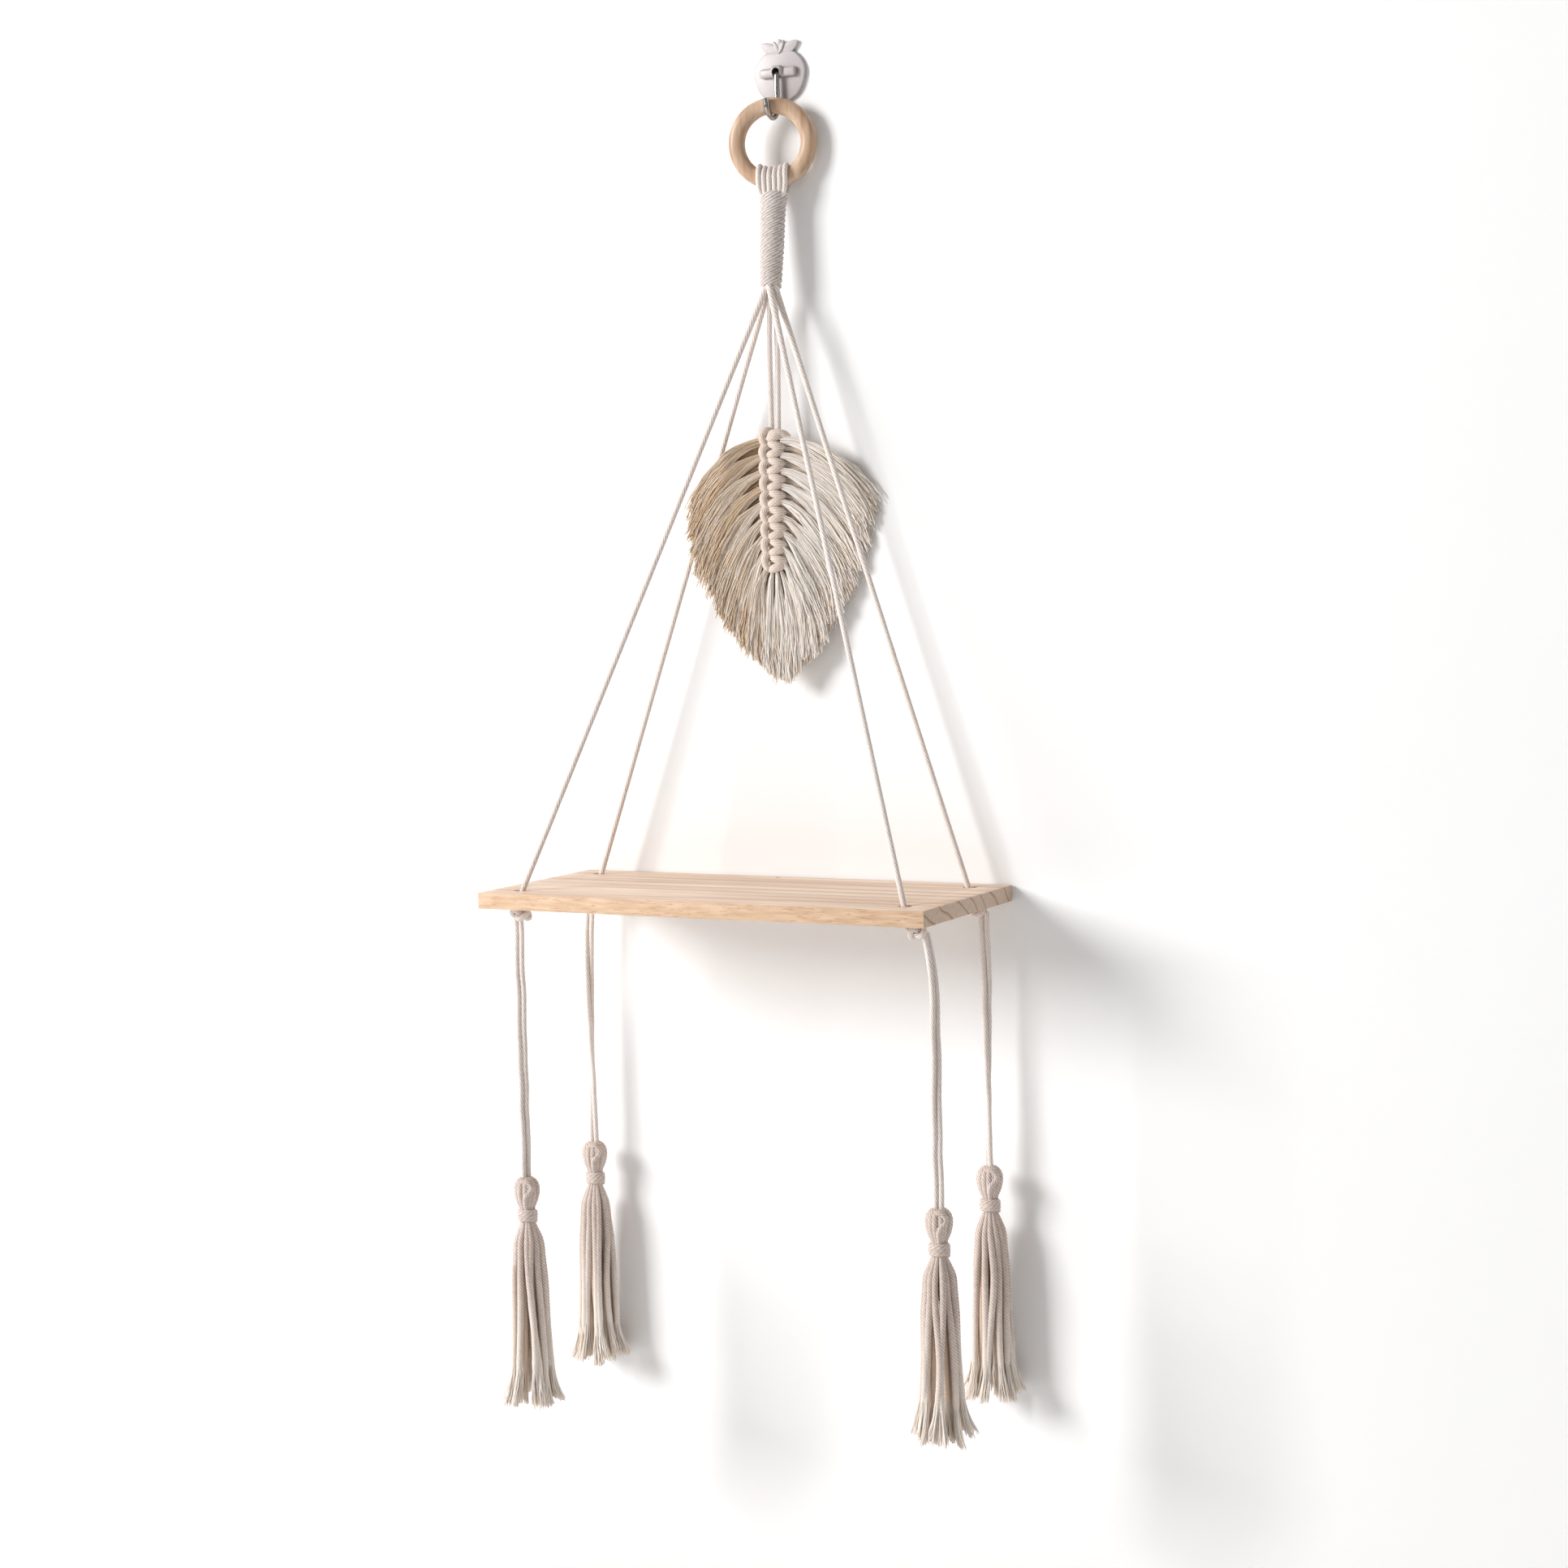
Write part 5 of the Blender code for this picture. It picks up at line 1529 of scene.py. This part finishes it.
def spine_routes(face):
    """Short cord arcs across and beside the spine. face is -1 in front, 1 behind."""
    routes = []
    swells = []
    for index in range(SEGMENTS):
        lean = 1 if index % 2 else -1
        z = -SPINE_LENGTH / SEGMENTS * (index + 0.6)
        routes.append(spine_arc(HITCH, face, 0.6 + 0.5 * lean, z, 1.3 * lean))
        swells.append(HITCH_SWELL)
    for index in range(LOCKS):
        routes.append(spine_arc(EDGE_LOOP, face, z=1.0 * MM - SPINE_LENGTH / LOCKS * index))
        swells.append(EDGE_LOOP_SWELL)
    routes.append(spine_arc(TOP_BAR, face))
    swells.append(TOP_BAR_SWELL)
    for across in CARRIERS:
        line = [Vector((across * MM, face * 0.9 * MM, -SPINE_LENGTH * share)) for share in CARRIER_SHARES]
        routes.append([LEAF_FRAME @ spot for spot in line])
        swells.append([0.7] * len(CARRIER_SHARES))
    return routes, swells


def leaf_cord_routes():
    routes = []
    for side, start_y in ((-1, 0.0), (1, FAN_R)):
        top = NECK_BOTTOM + Vector((0.0, start_y, 4.0 * MM))
        foot = LEAF_FRAME @ Vector((side * (CORD_R + 0.3 * MM), 0.0, -2.0 * MM))
        middle = top.lerp(foot, 0.35) + Vector((side * 1.2 * MM, 0.0, 0.0))
        routes.append(smooth_route([top, middle, foot], 6))
    return routes


leaf_cords = twist_cords("leaf_cords", leaf_cord_routes(), **ROPE)
dress(leaf_cords, "cotton", "leaf_cord_left", "leaf_cord_right")
front_routes, front_swells = spine_routes(-1)
back_routes, back_swells = spine_routes(1)
spine = twist_cords(
    "leaf_spine",
    front_routes + back_routes,
    front_swells + back_swells,
    Radius=SPINE_CORD_R,
    Plies=10,
    Groove=0.09,
    Turn=30 * MM,
    Step=1.0 * MM,
    Material=spine_cotton,
)
dress(spine, "leaf_cotton", "leaf")

# %% [markdown]
# A tassel is a bunch of cords folded over the loop of the leg, bound below the fold and cut level.
# The outer cords bulge over the head, dive under the binding and hang free below it. Their twist is
# slacker there, so the turn is shorter and the cord fatter, and each sways its own way. The first
# cord of the fold loops round the leg in front and shows as an eye.

# %% Tassel strands
HEAD_H = 18.8 * MM
BAND_H = 8.6 * MM
STRAND_R = 2.05 * MM
OUTER = 14
INNER = 7
FRAY = 21 * MM
# share of the skirt's height, radius of the outer strands' middles, swell of a strand
SKIRT = (
    (0.00, 3.7 * MM, 0.55),
    (0.07, 5.9 * MM, 0.80),
    (0.14, 7.9 * MM, 0.95),
    (0.40, 9.7 * MM, 1.02),
    (0.75, 10.6 * MM, 1.04),
    (1.00, 12.2 * MM, 0.98),
)
# the last two shares are where the strand narrows inside its frayed end
SKIRT_SHARES = (0.0, 0.07, 0.14, 0.25, 0.4, 0.55, 0.7, 0.85, 0.95, 1.0, 1.04)
# depth below the top, radius of the strands' middles and swell, over the head
HEAD = (
    (0.3 * MM, 0.9 * MM, 0.60),
    (0.7 * MM, 3.4 * MM, 0.85),
    (3.6 * MM, 5.7 * MM, 1.0),
    (8.0 * MM, 6.3 * MM, 1.0),
    (13.5 * MM, 5.3 * MM, 0.88),
    (18.0 * MM, 3.9 * MM, 0.62),
    (23.0 * MM, 3.6 * MM, 0.55),
)
# X, Y and Z in millimetres from the top of the head, and the cord's swell
HEAD_EYE = (
    (-1.4, -4.9, -1.4),
    (1.4, -5.9, -1.0),
    (4.0, -5.9, -3.2),
    (4.2, -6.5, -6.4),
    (2.2, -7.2, -8.4),
    (0.6, -7.2, -11.0),
    (0.2, -6.0, -15.0),
    (0.2, -4.0, -19.5),
)
HEAD_EYE_SWELL = [0.7, 0.8, 0.85, 0.85, 0.85, 0.85, 0.75, 0.5]
EYE_TURN = Matrix.Rotation(math.radians(20), 4, "Z")


def strand_run(place, length, angle, ring_share, chance, over_head):
    """One strand from the top of the head, or from under the binding, to where it comes undone."""
    out = Vector((math.cos(angle), math.sin(angle), 0.0))
    side_way = Vector((-out.y, out.x, 0.0))
    route = []
    swell = []
    if over_head:
        for depth, radius, size in HEAD:
            route.append(place + out * radius + upright(-depth))
            swell.append(size)
    top = HEAD_H + BAND_H
    sway = chance.uniform(-2.6, 2.6) * MM
    bow = chance.uniform(-1.7, 1.7) * MM
    phase = chance.uniform(0.0, 1.2)
    reach = (length - top) * chance.uniform(0.955, 1.0) - FRAY
    for share in SKIRT_SHARES:
        radius, size = blend_rows(SKIRT, share)
        swing = math.sin(math.pi * (share * 1.7 + phase)) - math.sin(math.pi * phase)
        bend = bow * swing * min(1.0, share * 3)
        away = out * (radius * ring_share + bend * 0.25) + side_way * (sway * share + bend)
        route.append(place + away + upright(-top - reach * share))
        swell.append(size * (0.45 if share > 1.0 else 0.8 if share == 1.0 else 1.0))
    return route, swell


print("a tassel has", OUTER + INNER, "strands and an eye")

# %% [markdown]
# The binding of a tassel is a thin cord wound four times round the strands, a little unevenly. Both
# of its ends are tucked inside, so its line starts and stops at the tassel's middle.

# %% Tassel bindings
BAND_CORD_R = 1.3 * MM
BAND_TURNS = 4
BAND_STEPS = 14
BAND_R = 5.0 * MM
BAND_TUCK = 2.0 * MM


def band_route(place, chance):
    """The binding of a tassel, wound from top to bottom."""
    route = []
    for step in range(BAND_TURNS * BAND_STEPS + 1):
        a = math.tau * step / BAND_STEPS
        share = step / (BAND_TURNS * BAND_STEPS)
        radius = BAND_R + 0.25 * MM * math.sin(share * 3)
        start = HEAD_H + BAND_CORD_R * 0.8
        drop = start + (BAND_H - 1.6 * BAND_CORD_R) * share + chance.uniform(-0.06, 0.06) * MM
        route.append(place + Vector((radius * math.cos(a), -radius * math.sin(a), -drop)))
    inside = [place + Vector((0.5 * MM, 0.0, -HEAD_H - depth)) for depth in (BAND_TUCK, BAND_H - BAND_TUCK)]
    return [inside[0], *route, inside[1]]


def band_piece(name, seed):
    band = twist_cords(
        f"binding_{name}",
        [band_route(tassel_place(name), random.Random(seed))],
        Radius=BAND_CORD_R,
        Turn=16 * MM,
        Step=0.9 * MM,
        Plies=5,
        Groove=0.2,
    )
    dress(band, "cotton", f"tassel_band_{name}")


print("a binding has", BAND_TURNS, "turns")

# %% [markdown]
# The last stretch of each strand has come undone into strings, which the second tree makes. They
# start inside the cord, where it is still whole, so that no cut end shows, and open outwards below.

# %% Frayed ends and whole tassels
# shares of the frayed length: the strings start well inside the strand, above its end
FRAY_SHARES = (-0.55, -0.2, 0.1, 0.4, 0.7, 1.0)
# millimetres by which a frayed end opens outwards
FLARE = 3.4
# how tan the outer and the inner strands are, the inner ones more as painted shade deep in the tassel, and
# how much of it their strings take
OUTER_WARM = (0.0, 0.12)
INNER_WARM = (0.35, 0.75)
FRAYED_WARM = 0.55


def frayed_end(route, place, chance):
    """The bundle of strings that a strand ends in: it starts inside the strand and opens below it."""
    end = route[-2]
    flare = Vector((end.x - place.x, end.y - place.y, 0.0)).normalized() * FLARE * MM
    way = (route[-2] - route[-4]).normalized()
    spin = chance.uniform(0, math.pi)
    across = Vector((math.cos(spin), math.sin(spin), 0.0))
    deep = Vector((-math.sin(spin), math.cos(spin), 0.0))
    lean = Vector((chance.uniform(-1.6, 1.6), chance.uniform(-1.6, 1.6), 0.0)) * MM
    bundle = []
    for share in FRAY_SHARES:
        down = Vector((way.x, way.y, -1.0)) * FRAY * share
        grown = max(0.0, share)
        spot = end + down + (lean + flare) * grown * grown
        bundle.append((spot, across * (1.4 + 2.5 * grown) * MM, deep * (1.4 + 1.1 * grown) * MM))
    return bundle


def tassel_pieces(name, seed):
    """The strands and the frayed ends of one tassel."""
    place = tassel_place(name)
    length = place.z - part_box(f"tassel_{name}")[0].z
    chance = random.Random(seed)
    runs = []
    turned_by = chance.uniform(0, math.tau)
    for index in range(OUTER):
        angle = turned_by + math.tau * (index + chance.uniform(-0.2, 0.2)) / OUTER
        runs.append(strand_run(place, length, angle, chance.uniform(0.9, 1.03), chance, True))
    for index in range(INNER):
        angle = turned_by + math.tau * (index + 0.5) / INNER
        runs.append(strand_run(place, length, angle, 0.55, chance, False))
    warmth = [chance.uniform(*OUTER_WARM) for _ in range(OUTER)]
    warmth += [chance.uniform(*INNER_WARM) for _ in range(INNER)]
    ends = comb_strings(
        f"frayed_{name}",
        [frayed_end(route, place, chance) for route, swell in runs],
        frayed_cotton,
        [share * FRAYED_WARM for share in warmth],
        Strings=32,
        Sides=4,
        Radius=0.42 * MM,
        Wave=0.8 * MM,
        Uneven=0.1,
        Steps=6,
        Seed=seed,
    )
    dress(ends, "cotton", f"tassel_{name}")
    runs.append(([place + EYE_TURN @ Vector(spot) * MM for spot in HEAD_EYE], HEAD_EYE_SWELL))
    strands = twist_cords(
        f"strands_{name}",
        [route for route, swell in runs],
        [swell for route, swell in runs],
        [*warmth, 0.0],
        Radius=STRAND_R,
        Turn=12 * MM,
        Step=1.25 * MM,
        Groove=0.2,
    )
    dress(strands, "cotton", f"tassel_{name}")


for seed, name in enumerate(CORNERS, start=3):
    tassel_pieces(name, seed)
    band_piece(name, seed + 50)
